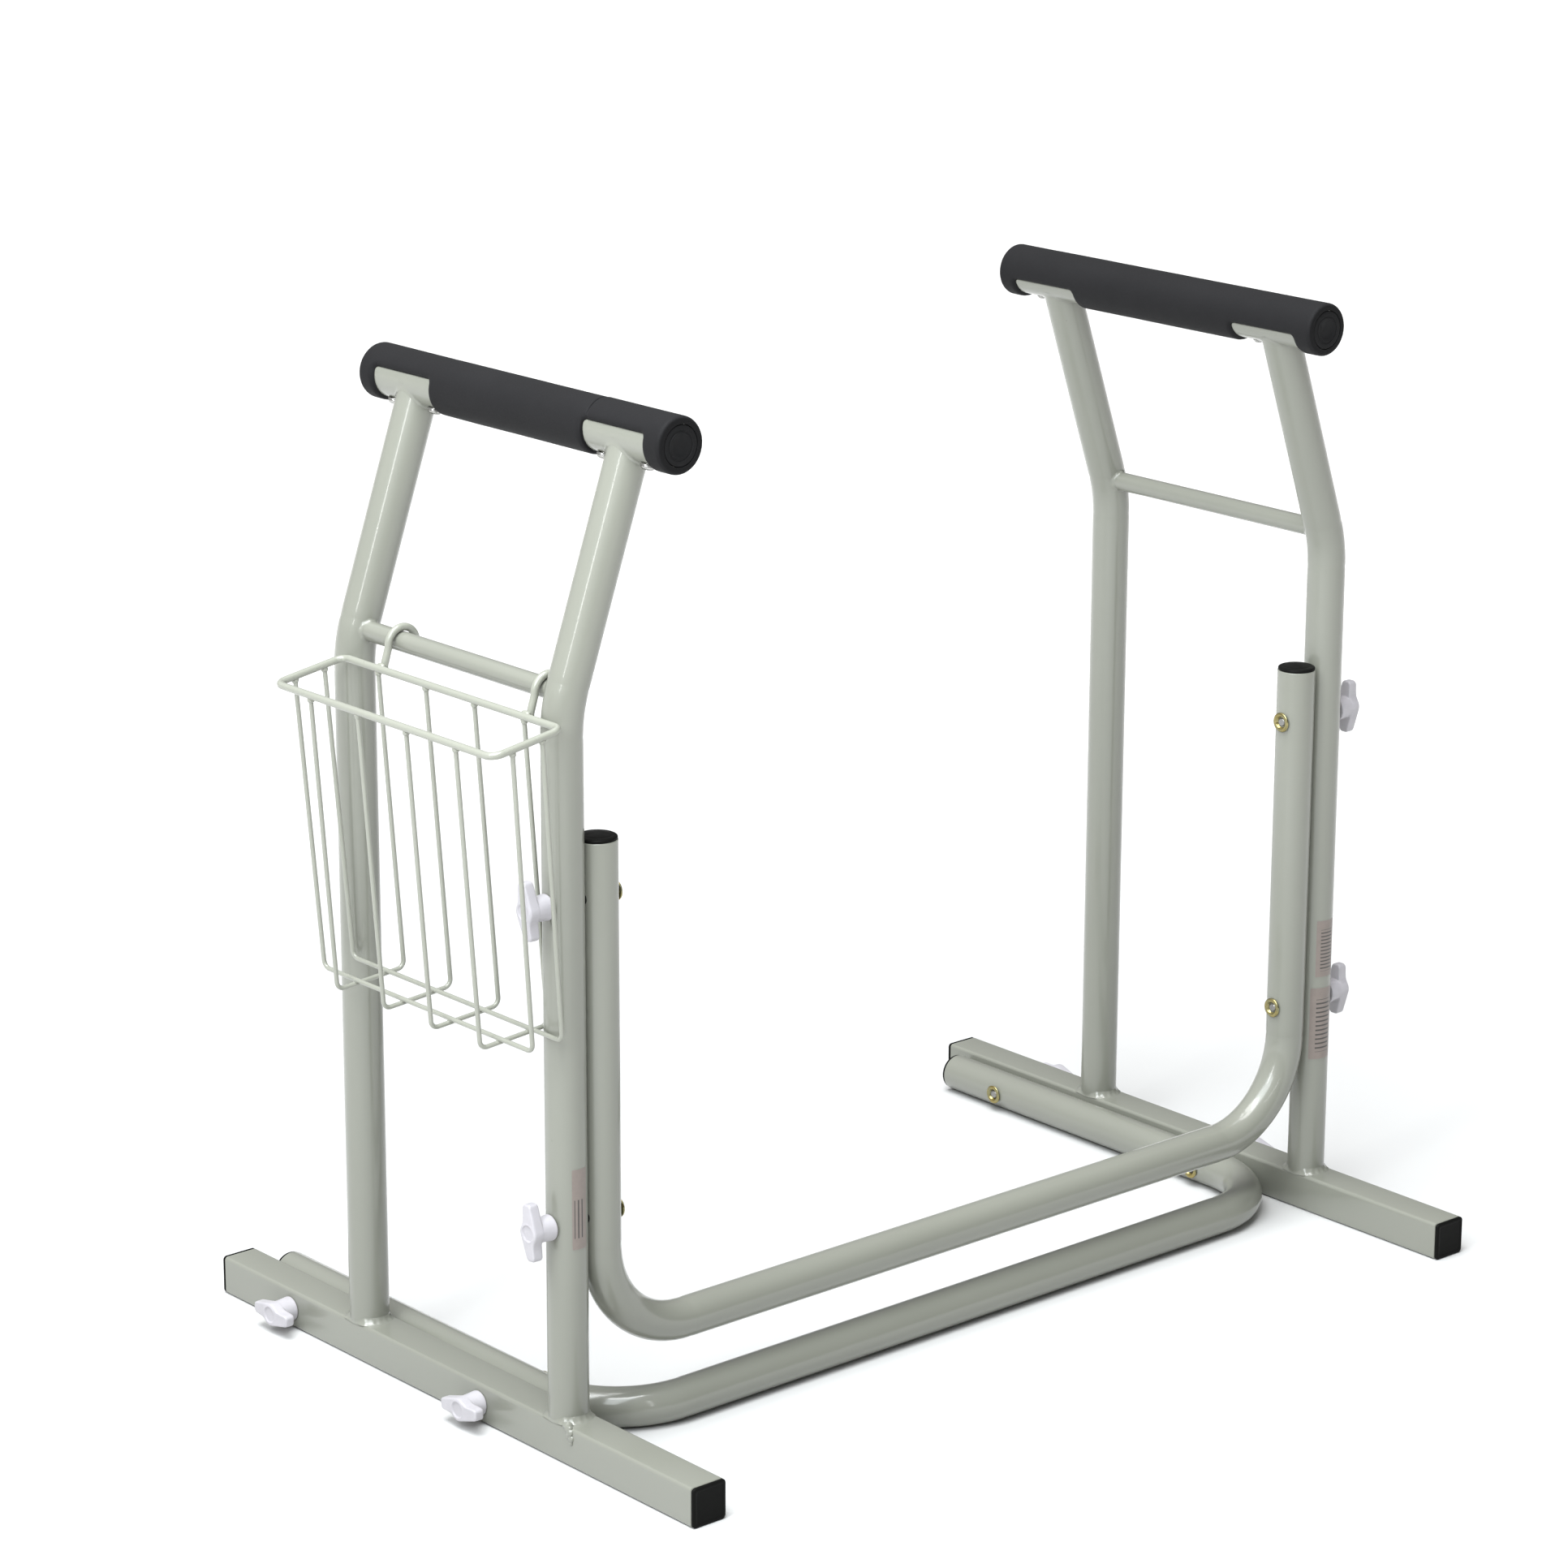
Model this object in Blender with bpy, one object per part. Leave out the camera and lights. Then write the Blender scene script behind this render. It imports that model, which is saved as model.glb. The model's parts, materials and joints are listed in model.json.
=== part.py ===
"""Stand-alone toilet safety rail with a hanging wire basket.

Two welded side frames stand on square feet and carry padded armrests. An upper and a lower U-shaped tube
join them. Wing knobs clamp each U to the side frames through flanged nuts. Metres, +Z up, front at -Y.
"""
import math

import bmesh
import bpy
from mathutils import Matrix, Vector

GAP = 0.0003                 # clearance left between pieces that touch

# side frames
MID_X = 0.0186               # the frame's middle plane, so the whole outline is centred on the origin
SIDE_X = 0.3247              # middle plane to a foot's centre line
FOOT = 0.0254                # square foot tube, across the flats
FOOT_LENGTH = 0.478
FOOT_CORNER = 0.003
WALL = 0.0012                # wall of every steel tube
TUBE_R = 0.0127
REAR_Y = 0.0955              # rear upright
FRONT_Y = -0.1085            # front upright
BEND_Z = 0.4684              # where an upright's two straight axes cross
BEND_R = 0.090
LEAN = math.radians(19.2)    # the upper part leans inwards
RAIL_Z = 0.4781              # thin rail between the uprights
RAIL_R = 0.00635

# armrests
ARM_Z = 0.6254
ARM_LENGTH = 0.290
ARM_Y = -0.0075
FOAM_R = 0.0174
SADDLE_T = 0.002
SADDLE_LENGTH = 0.0565
SADDLE_ANGLE = math.radians(96)    # from the middle of the plate to each edge
SCREW_OFFSET = 0.0200        # screw to upright axis, along the armrest
SCREW_R = 0.002
SCREW_HEAD_R = 0.0047
SCREW_HEAD_H = 0.0034

# U-shaped tubes
UPPER_TOP_Z = 0.386
UPPER_Z = 0.0648             # crossing part of the upper U
UPPER_BEND = 0.065
LOWER_END_Y = 0.218
LOWER_Y = -0.1103            # crossing part of the lower U
LOWER_BEND = 0.062
LEG_X = SIDE_X - 2 * TUBE_R - GAP
PLUG_T = 0.0022

# knobs, bolts and nuts
BOLT_R = 0.003
HOLE_R = 0.0034
NUT_HOLE_R = 0.0049
UPPER_BOLT_Z = (0.3515, 0.1505)
LOWER_BOLT_Y = (0.1643, -0.0355)
NECK = 0.0100                # tube to the wing's inner face
NECK_R = 0.0078              # neck where it bears on the tube
WING_T = 0.0075
WING_HALF = 0.0179
BOSS_R = 0.0076
WING_TURNS = {               # how each wing stands, in degrees about its bolt
    "left": {"upper": 98, "middle": 95, "rear": 177, "front": 182},
    "right": {"upper": 90, "middle": 90, "rear": 3, "front": -2},
}

# basket, measured from the rail's axis in the basket's own upright position
BASKET_TILT = math.radians(4.42)
BASKET_Y = -0.0206
RIM_R = 0.0023
RIM_CORNER = 0.007
WIRE_R = 0.00145
HOOK_R = 0.0024
RIM_HALF = 0.107
FLOOR_HALF = 0.104
INNER_X = -0.0194
OUTER_X = -0.0701
RIM_IN_Z = -0.0124
RIM_OUT_Z = -0.0165
FLOOR_Z = -0.2059
CROSS_Y = (-0.0715, -0.0238, 0.0238, 0.0715)
LONG_X = (-0.0340, -0.0560)
HOOK_BEND = 0.0105

SIDES = (("left", -1), ("right", 1))
ENDS = (("rear", REAR_Y), ("front", FRONT_Y))


def clear_scene():
    for obj in list(bpy.data.objects):
        bpy.data.objects.remove(obj, do_unlink=True)


def principled(name, color, metallic, roughness):
    mat = bpy.data.materials.new(name)
    mat.use_nodes = True
    node = mat.node_tree.nodes["Principled BSDF"]
    node.inputs["Base Color"].default_value = (*color, 1.0)
    node.inputs["Metallic"].default_value = metallic
    node.inputs["Roughness"].default_value = roughness
    return mat


def finish(name, key):
    """A material of its own for one piece, from the finish it shares with its kind."""
    return principled(name, *FINISHES[key])


FINISHES = {
    "paint": ((0.60, 0.62, 0.56), 0.0, 0.3),
    "black": ((0.02, 0.02, 0.022), 0.0, 0.5),
    "foam": ((0.035, 0.035, 0.038), 0.0, 0.85),
    "steel": ((0.62, 0.62, 0.62), 1.0, 0.3),
    "zinc": ((0.66, 0.55, 0.30), 1.0, 0.35),
    "white": ((0.78, 0.76, 0.80), 0.0, 0.4),
}


def link(name, mesh, key=None):
    obj = bpy.data.objects.new(name, mesh)
    bpy.context.scene.collection.objects.link(obj)
    if key:
        mesh.materials.append(finish(name, key))
    return obj


def mesh_of(name, bm):
    bmesh.ops.recalc_face_normals(bm, faces=bm.faces)
    mesh = bpy.data.meshes.new(name)
    bm.to_mesh(mesh)
    bm.free()
    return mesh


def swept_mesh(name, points, radius, sides, cyclic=False, caps=True):
    """The mesh of a round bar along a polyline."""
    data = bpy.data.curves.new(name + "_path", "CURVE")
    data.dimensions = "3D"
    data.twist_mode = "MINIMUM"
    data.bevel_depth = radius
    data.bevel_resolution = sides // 2 - 2
    data.use_fill_caps = caps and not cyclic
    spline = data.splines.new("POLY")
    spline.points.add(len(points) - 1)
    for point, co in zip(spline.points, points):
        point.co = (*co, 1.0)
    spline.use_cyclic_u = cyclic
    curve = bpy.data.objects.new(name + "_path", data)
    bpy.context.scene.collection.objects.link(curve)
    bpy.context.view_layer.update()
    mesh = bpy.data.meshes.new_from_object(curve.evaluated_get(bpy.context.evaluated_depsgraph_get()))
    mesh.name = name
    mesh.materials.clear()
    bpy.data.objects.remove(curve, do_unlink=True)
    bm = bmesh.new()
    bm.from_mesh(mesh)
    bmesh.ops.remove_doubles(bm, verts=bm.verts, dist=0.00001)
    bmesh.ops.recalc_face_normals(bm, faces=bm.faces)
    bm.to_mesh(mesh)
    bm.free()
    return mesh


def tube(name, points, key="paint", radius=TUBE_R, sides=20):
    """An open-ended steel tube along a polyline."""
    obj = link(name, swept_mesh(name, points, radius, sides, caps=False), key)
    wall = obj.modifiers.new("wall", "SOLIDIFY")
    wall.thickness = WALL
    wall.offset = -1.0
    wall.use_rim = True
    return obj


def bar(name, points, radius, key="paint", sides=16, cyclic=False):
    """A solid round wire or bar along a polyline."""
    return link(name, swept_mesh(name, points, radius, sides, cyclic), key)


def arc(centre, start, end, turn, steps):
    """Points from start to end about centre, where turn is the angle between them."""
    a = Vector(start) - Vector(centre)
    b = Vector(end) - Vector(centre)
    across = (b - a * math.cos(turn)) / math.sin(turn)
    return [Vector(centre) + a * math.cos(turn * i / steps) + across * math.sin(turn * i / steps)
            for i in range(steps + 1)]


def rounded(points, radius, steps):
    """The polyline with each inner corner replaced by an arc."""
    pts = [Vector(p) for p in points]
    out = [pts[0]]
    for before, corner, after in zip(pts, pts[1:], pts[2:]):
        u = (before - corner).normalized()
        v = (after - corner).normalized()
        turn = math.pi - u.angle(v)
        reach = radius * math.tan(turn / 2)
        start = corner + u * reach
        end = corner + v * reach
        centre = corner + (u + v).normalized() * (radius / math.cos(turn / 2))
        out += arc(centre, start, end, turn, steps)
    return out + [pts[-1]]


def lathe(profile, sides):
    """A bmesh turned about X from (x, radius) points; the first and last radius are 0."""
    bm = bmesh.new()
    rings = []
    for x, r in profile:
        if r == 0:
            rings.append([bm.verts.new((x, 0, 0))])
            continue
        angles = [2 * math.pi * i / sides for i in range(sides)]
        rings.append([bm.verts.new((x, r * math.cos(a), r * math.sin(a))) for a in angles])
    for one, two in zip(rings, rings[1:]):
        for i in range(sides):
            j = (i + 1) % sides
            quad = [one[i % len(one)], one[j % len(one)], two[j % len(two)], two[i % len(two)]]
            face = [v for k, v in enumerate(quad) if v not in quad[:k]]
            bm.faces.new(face)
    return bm


def turned(name, profile, sides, key, place):
    """A solid of revolution about X, moved into place by a matrix."""
    bm = lathe(profile, sides)
    bmesh.ops.transform(bm, matrix=place, verts=bm.verts)
    return link(name, mesh_of(name, bm), key)


def cylinder(bm, start, end, radius, sides):
    """Adds a closed cylinder between two points."""
    start, end = Vector(start), Vector(end)
    turn = (end - start).to_track_quat("Z", "Y").to_matrix().to_4x4() @ Matrix.Rotation(0.1, 4, "Z")
    place = Matrix.Translation((start + end) / 2) @ turn
    bmesh.ops.create_cone(bm, cap_ends=True, segments=sides, radius1=radius, radius2=radius,
                          depth=(end - start).length, matrix=place)


def cutter(name, bm):
    obj = link(name, mesh_of(name, bm))
    obj.hide_render = True
    obj.display_type = "WIRE"
    return obj


def boolean(obj, other, operation="DIFFERENCE"):
    mod = obj.modifiers.new(operation.lower(), "BOOLEAN")
    mod.operation = operation
    mod.solver = "EXACT"
    mod.object = other


def side_x(sign, inward=0.0):
    """X of a point inward from a side frame's centre line."""
    return MID_X + sign * (SIDE_X - inward)


def lean_vector(sign):
    """Up along the leaning part of an upright."""
    return Vector((-sign * math.sin(LEAN), 0, math.cos(LEAN)))


def arm_axis(sign, y=0.0):
    reach = (ARM_Z - BEND_Z) / math.cos(LEAN)
    return Vector((side_x(sign), y, BEND_Z)) + lean_vector(sign) * reach


def upright_path(sign, y):
    foot_top = (side_x(sign), y, FOOT + GAP)
    return rounded([foot_top, (side_x(sign), y, BEND_Z), arm_axis(sign, y)], BEND_R, 4)


def rail_axis(sign, y=0.0):
    """The rail's axis, where the uprights' bend passes its height."""
    rise = RAIL_Z - (BEND_Z - BEND_R * math.tan(LEAN / 2))
    inward = BEND_R - math.sqrt(BEND_R**2 - rise**2)
    return Vector((side_x(sign, inward), y, RAIL_Z))


def square_ring(y, half, corner, steps=3):
    """A rounded square's outline in the XZ plane, about the origin."""
    points = []
    for quarter in range(4):
        for i in range(steps + 1):
            a = math.pi / 2 * (quarter + i / steps)
            cx = (half - corner) * (1 if quarter in (0, 3) else -1)
            cz = (half - corner) * (1 if quarter in (0, 1) else -1)
            points.append(Vector((cx + corner * math.cos(a), y, cz + corner * math.sin(a))))
    return points


def prism_rings(bm, rings, closed_ends=True):
    """Skins a stack of equal rings."""
    made = [[bm.verts.new(p) for p in ring] for ring in rings]
    for one, two in zip(made, made[1:]):
        for i in range(len(one)):
            j = (i + 1) % len(one)
            bm.faces.new([one[i], one[j], two[j], two[i]])
    if closed_ends:
        bm.faces.new(made[0])
        bm.faces.new(made[-1])


def build_foot(side, sign):
    bm = bmesh.new()
    half = FOOT_LENGTH / 2
    ends = [square_ring(y, FOOT / 2, FOOT_CORNER) for y in (-half, half)]
    inner = FOOT / 2 - WALL
    core = [square_ring(y, inner, FOOT_CORNER - WALL) for y in (half, -half)]
    prism_rings(bm, [*ends, *core, ends[0]], closed_ends=False)
    bmesh.ops.remove_doubles(bm, verts=bm.verts, dist=0.00001)
    bmesh.ops.translate(bm, vec=(side_x(sign), 0, FOOT / 2), verts=bm.verts)
    obj = link(f"foot_{side}", mesh_of(f"foot_{side}", bm), "paint")
    holes = bmesh.new()
    for y in LOWER_BOLT_Y:
        cylinder(holes, (side_x(sign, 0.02), y, FOOT / 2), (side_x(sign, -0.02), y, FOOT / 2), HOLE_R, 14)
    boolean(obj, cutter(f"cut_foot_{side}", holes))


def build_foot_plug(side, sign, end, way):
    """A square end plug: a flange outside and a slightly tapered block inside the tube."""
    bm = bmesh.new()
    inside = FOOT / 2 - WALL - GAP
    stack = [(-0.014, inside - 0.0004), (0.0, inside), (0.0, FOOT / 2), (0.0017, FOOT / 2),
             (0.0022, FOOT / 2 - 0.0006)]
    start = FOOT_LENGTH / 2 + GAP
    prism_rings(bm, [square_ring(way * (start + y), half, 0.0022) for y, half in stack])
    bmesh.ops.translate(bm, vec=(side_x(sign), 0, FOOT / 2), verts=bm.verts)
    name = f"foot_plug_{side}_{end}"
    link(name, mesh_of(name, bm), "black")


def build_upright(side, sign, end, y):
    name = f"upright_{side}_{end}"
    obj = tube(name, upright_path(sign, y))
    cuts = bmesh.new()
    axis = arm_axis(sign, y)
    reach = Vector((0, 0.04, 0))
    cylinder(cuts, axis - reach, axis + reach, TUBE_R + SADDLE_T + 2 * GAP, 32)
    if end == "front":
        for z in UPPER_BOLT_Z:
            cylinder(cuts, (side_x(sign, 0.02), y, z), (side_x(sign, -0.02), y, z), HOLE_R, 14)
    boolean(obj, cutter(f"cut_{name}", cuts))


def build_rail(side, sign):
    """The thin rail, with its ends shaped to the uprights."""
    name = f"rail_{side}"
    obj = bar(name, [rail_axis(sign, FRONT_Y), rail_axis(sign, REAR_Y)], RAIL_R, sides=20)
    for end, y in ENDS:
        shape = swept_mesh(f"cut_{name}_{end}", upright_path(sign, y), TUBE_R + GAP, 24)
        cut = link(f"cut_{name}_{end}", shape)
        cut.hide_render = True
        cut.display_type = "WIRE"
        boolean(obj, cut)


def saddle_section(sign, inner, outer, half_angle, steps=12):
    """Outline of a half pipe centred on the upright's direction, about the armrest's axis."""
    down = -lean_vector(sign)
    across = Vector((down.z, 0, -down.x))
    angles = [half_angle * (2 * i / steps - 1) for i in range(steps + 1)]
    rim = [down * math.cos(a) + across * math.sin(a) for a in angles]
    return [d * inner for d in rim] + [d * outer for d in reversed(rim)]


def screw_spots(sign, y):
    for name, offset in (("back", SCREW_OFFSET), ("fore", -SCREW_OFFSET)):
        yield name, arm_axis(sign, y + offset)


def screw_holes(bm, sign, y):
    for _, spot in screw_spots(sign, y):
        cylinder(bm, spot - lean_vector(sign) * 0.0095, spot - lean_vector(sign) * 0.0175, SCREW_R + GAP, 10)


def build_saddle(side, sign, end, y):
    """The half-pipe plate that is welded on an upright and carries the armrest."""
    name = f"saddle_{side}_{end}"
    inner = TUBE_R + GAP
    section = saddle_section(sign, inner, inner + SADDLE_T, SADDLE_ANGLE)
    bm = bmesh.new()
    axis = arm_axis(sign, y)
    half = Vector((0, SADDLE_LENGTH / 2, 0))
    prism_rings(bm, [[axis + p - half for p in section], [axis + p + half for p in section]])
    obj = link(name, mesh_of(name, bm), "paint")
    holes = bmesh.new()
    screw_holes(holes, sign, y)
    boolean(obj, cutter(f"cut_{name}", holes))


def build_screws(side, sign, end, y):
    """Pan-head screws, one on each side of the upright, up through the saddle into the core tube."""
    for place_name, spot in screw_spots(sign, y):
        seat = TUBE_R + SADDLE_T + 2 * GAP
        turn = (-lean_vector(sign)).to_track_quat("X", "Y").to_matrix().to_4x4()
        profile = [
            (0.0098, 0),
            (0.0098, SCREW_R - 0.0004),
            (0.0104, SCREW_R),
            (seat, SCREW_R),
            (seat, SCREW_HEAD_R),
            (seat + SCREW_HEAD_H * 0.5, SCREW_HEAD_R * 0.96),
            (seat + SCREW_HEAD_H * 0.85, SCREW_HEAD_R * 0.7),
            (seat + SCREW_HEAD_H, SCREW_HEAD_R * 0.35),
            (seat + SCREW_HEAD_H, 0),
        ]
        name = f"screw_{side}_{end}_{place_name}"
        turned(name, profile, 10, "steel", Matrix.Translation(spot) @ turn)


def build_core(side, sign):
    """The steel tube inside the armrest."""
    half = ARM_LENGTH / 2 - 0.0020 - GAP
    name = f"arm_core_{side}"
    obj = tube(name, [arm_axis(sign, ARM_Y - half), arm_axis(sign, ARM_Y + half)])
    holes = bmesh.new()
    for _, y in ENDS:
        screw_holes(holes, sign, y)
    boolean(obj, cutter(f"cut_{name}", holes))


def build_foam(side, sign):
    """The foam sleeve, cut out where the saddles sit."""
    name = f"arm_foam_{side}"
    inner = TUBE_R + GAP
    half = ARM_LENGTH / 2
    stack = [(-half, inner), (-half, FOAM_R - 0.002), (-half + 0.002, FOAM_R), (half - 0.002, FOAM_R),
             (half, FOAM_R - 0.002), (half, inner), (-half, inner)]
    bm = bmesh.new()
    rings = []
    for y, r in stack:
        centre = arm_axis(sign, ARM_Y + y)
        angles = [2 * math.pi * i / 24 for i in range(24)]
        rings.append([centre + Vector((r * math.cos(a), 0, r * math.sin(a))) for a in angles])
    prism_rings(bm, rings, closed_ends=False)
    bmesh.ops.remove_doubles(bm, verts=bm.verts, dist=0.00001)
    obj = link(name, mesh_of(name, bm), "foam")
    cuts = bmesh.new()
    section = saddle_section(sign, TUBE_R - 0.002, FOAM_R + 0.004, SADDLE_ANGLE + 0.03)
    reach = Vector((0, SADDLE_LENGTH / 2 + 2 * GAP, 0))
    for _, y in ENDS:
        axis = arm_axis(sign, y)
        prism_rings(cuts, [[axis + p - reach for p in section], [axis + p + reach for p in section]])
    boolean(obj, cutter(f"cut_{name}", cuts))


def round_plug(name, face, way, flange_r, flange_t, inside_r, depth=0.012, dome=0.0008):
    """A round end plug whose flange lies against a tube's end face."""
    profile = [
        (-depth, 0),
        (-depth, inside_r - 0.0006),
        (0, inside_r),
        (GAP, inside_r),
        (GAP, flange_r),
        (flange_t - 0.0009, flange_r),
        (flange_t - 0.0003, flange_r - 0.0005),
        (flange_t, flange_r - 0.0012),
        (flange_t + dome, flange_r * 0.45),
        (flange_t + dome, 0),
    ]
    turn = Vector(way).to_track_quat("X", "Y").to_matrix().to_4x4()
    turned(name, profile, 18, "black", Matrix.Translation(face) @ turn)


def build_arm_plugs(side, sign):
    half = ARM_LENGTH / 2 - 0.0020 - GAP
    inside = TUBE_R - WALL - GAP
    for end, way in (("rear", 1), ("front", -1)):
        face = arm_axis(sign, ARM_Y + way * half)
        round_plug(f"arm_plug_{side}_{end}", face, (0, way, 0), TUBE_R - GAP, 0.002, inside, dome=0.0003)


def build_upper_u():
    points = [
        (MID_X - LEG_X, FRONT_Y, UPPER_TOP_Z),
        (MID_X - LEG_X, FRONT_Y, UPPER_Z),
        (MID_X + LEG_X, FRONT_Y, UPPER_Z),
        (MID_X + LEG_X, FRONT_Y, UPPER_TOP_Z),
    ]
    obj = tube("upper_u", rounded(points, UPPER_BEND, 7))
    holes = bmesh.new()
    for _, sign in SIDES:
        for z in UPPER_BOLT_Z:
            bolt_holes(holes, sign, Vector((MID_X + sign * LEG_X, FRONT_Y, z)))
    boolean(obj, cutter("cut_upper_u", holes))


def build_lower_u():
    points = [
        (MID_X - LEG_X, LOWER_END_Y, TUBE_R),
        (MID_X - LEG_X, LOWER_Y, TUBE_R),
        (MID_X + LEG_X, LOWER_Y, TUBE_R),
        (MID_X + LEG_X, LOWER_END_Y, TUBE_R),
    ]
    obj = tube("lower_u", rounded(points, LOWER_BEND, 7))
    holes = bmesh.new()
    for _, sign in SIDES:
        for y in LOWER_BOLT_Y:
            bolt_holes(holes, sign, Vector((MID_X + sign * LEG_X, y, TUBE_R)))
    boolean(obj, cutter("cut_lower_u", holes))


def bolt_holes(bm, sign, axis):
    """A bolt hole in a leg's outer wall and a nut hole in its inner wall."""
    out = Vector((sign, 0, 0))
    cylinder(bm, axis + out * 0.006, axis + out * 0.016, HOLE_R, 14)
    cylinder(bm, axis - out * 0.006, axis - out * 0.016, NUT_HOLE_R, 14)


def build_u_plugs():
    inside = TUBE_R - WALL - GAP
    for side, sign in SIDES:
        x = MID_X + sign * LEG_X
        round_plug(f"upper_plug_{side}", (x, FRONT_Y, UPPER_TOP_Z), (0, 0, 1), TUBE_R, PLUG_T, inside)
        round_plug(f"lower_plug_{side}", (x, LOWER_END_Y, TUBE_R), (0, 1, 0), TUBE_R, PLUG_T, inside)


def wing_outline():
    """The wing's face-on outline. Each lobe runs straight off the hub on one side and steps in on the other."""
    stepped, straight, corner = 0.0042, 0.0034, 0.0022
    reach = WING_HALF - corner
    slope = math.asin((BOSS_R - straight) / reach)

    def bend(u, v, radius, angles):
        return [(u + radius * math.cos(a), v + radius * math.sin(a)) for a in angles]

    half = bend(reach, stepped - corner, corner, (0, math.pi / 4, math.pi / 2))
    half += [(0.0090, stepped), (0.0070, stepped + 0.0006)]
    half += bend(0, 0, BOSS_R, [math.radians(a) for a in (50, 65, 80)] + [math.pi / 2 + slope])
    half += bend(-reach, straight - corner, corner, (math.pi / 2 + slope, math.pi * 0.78, math.pi))
    return half + [(-u, -v) for u, v in half]


def wing_rings():
    """Rings through the wing's thickness: the same outline, drawn in a little at both faces."""
    rings = []
    for depth, inset in ((0.0, 0.0010), (0.0010, 0.0), (WING_T - 0.0014, 0.0), (WING_T, 0.0014)):
        ring = []
        for u, v in wing_outline():
            scale = 1 - inset / max(math.hypot(u, v), 0.001)
            ring.append(Vector((depth, u * scale, v * scale)))
        rings.append(ring)
    return rings


def build_knob(name, seat, sign, bolt_length, angle):
    """A plastic wing knob with its bolt moulded in. seat is the point where the bolt meets the outer tube."""
    outwards = Matrix.Rotation(0 if sign > 0 else math.pi, 4, "Z")
    place = Matrix.Translation(seat) @ outwards @ Matrix.Rotation(angle, 4, "X")
    wing = bmesh.new()
    prism_rings(wing, [[p + Vector((NECK, 0, 0)) for p in ring] for ring in wing_rings()])
    bmesh.ops.transform(wing, matrix=place, verts=wing.verts)
    obj = link(name, mesh_of(name, wing), "white")
    profile = [
        (-bolt_length, 0),
        (-bolt_length, BOLT_R - 0.0006),
        (-bolt_length + 0.0006, BOLT_R),
        (GAP, BOLT_R),
        (GAP, NECK_R),
        (NECK + 0.002, NECK_R - 0.0008),
        (NECK + 0.002, 0),
    ]
    stem = lathe(profile, 14)
    bmesh.ops.transform(stem, matrix=place, verts=stem.verts)
    boolean(obj, cutter(f"cut_{name}", stem), "UNION")


def build_nut(name, seat, sign):
    """A flanged insert nut. seat is the point where the bolt leaves the U-tube, and it faces inwards."""
    bore = BOLT_R + 0.0001
    profile = [(-0.0085, bore), (-0.0085, 0.0046), (GAP, 0.0046), (GAP, 0.0065), (0.0011, 0.0065),
               (0.0016, 0.0058), (0.0016, 0.0040), (0.0008, bore), (-0.0085, bore)]
    bm = bmesh.new()
    rings = []
    for x, r in profile:
        angles = [2 * math.pi * i / 14 for i in range(14)]
        rings.append([Vector((x, r * math.cos(a), r * math.sin(a))) for a in angles])
    prism_rings(bm, rings, closed_ends=False)
    bmesh.ops.remove_doubles(bm, verts=bm.verts, dist=0.00001)
    place = Matrix.Translation(seat) @ Matrix.Diagonal((-sign, 1, 1, 1))
    bmesh.ops.transform(bm, matrix=place, verts=bm.verts)
    link(name, mesh_of(name, bm), "zinc")


def build_clamps():
    """The knobs and nuts that hold the two U-tubes to the side frames."""
    reach = 4 * TUBE_R + GAP - 0.003
    for side, sign in SIDES:
        seats = [(name, FRONT_Y, z) for name, z in zip(("upper", "middle"), UPPER_BOLT_Z)]
        seats += [(name, y, TUBE_R) for name, y in zip(("rear", "front"), LOWER_BOLT_Y)]
        for name, y, z in seats:
            outer = Vector((side_x(sign, -TUBE_R), y, z))
            inner = Vector((MID_X + sign * (LEG_X - TUBE_R), y, z))
            build_knob(f"knob_{side}_{name}", outer, sign, reach, math.radians(WING_TURNS[side][name]))
            build_nut(f"nut_{side}_{name}", inner, sign)


def basket_point(x, y, z):
    """From the basket's upright position to where it hangs on the left rail."""
    turned_point = Matrix.Rotation(-BASKET_TILT, 3, "Y") @ Vector((x, 0, z))
    return rail_axis(-1) + Vector((turned_point.x, BASKET_Y + y, turned_point.z))


def rim_z(x):
    return RIM_IN_Z + (RIM_OUT_Z - RIM_IN_Z) * (x - INNER_X) / (OUTER_X - INNER_X)


def build_rim():
    corners = [(INNER_X, -RIM_HALF), (OUTER_X, -RIM_HALF), (OUTER_X, RIM_HALF), (INNER_X, RIM_HALF)]
    points = [Vector((x, y, rim_z(x))) for x, y in corners]
    middle = (points[0] + points[3]) / 2
    path = rounded([middle, *points, middle], RIM_CORNER, 4)[:-1]
    bar("basket_rim", [basket_point(*p) for p in path], RIM_R, sides=10, cyclic=True)


def build_cage():
    """The thin wires: four across the basket and two along it, welded where they cross."""
    drop = RIM_R + WIRE_R + GAP
    lift = 2 * WIRE_R - 0.0004
    cage = None
    for i, y in enumerate(CROSS_Y):
        points = [
            (INNER_X, y, rim_z(INNER_X) - drop),
            (INNER_X, y, FLOOR_Z),
            (OUTER_X, y, FLOOR_Z),
            (OUTER_X, y, rim_z(OUTER_X) - drop),
        ]
        path = [basket_point(*p) for p in rounded(points, 0.005, 3)]
        if cage is None:
            cage = bar("basket_cage", path, WIRE_R, sides=8)
            continue
        join_wire(cage, f"join_cross_{i}", path)
    for i, x in enumerate(LONG_X):
        top = rim_z(x) - drop
        points = [
            (x, -RIM_HALF, top),
            (x, -FLOOR_HALF, FLOOR_Z + lift),
            (x, FLOOR_HALF, FLOOR_Z + lift),
            (x, RIM_HALF, top),
        ]
        path = [basket_point(*p) for p in rounded(points, 0.005, 3)]
        join_wire(cage, f"join_long_{i}", path)


def join_wire(cage, name, path):
    wire = link(name, swept_mesh(name, path, WIRE_R, 8))
    wire.hide_render = True
    wire.display_type = "WIRE"
    boolean(cage, wire, "UNION")


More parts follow.
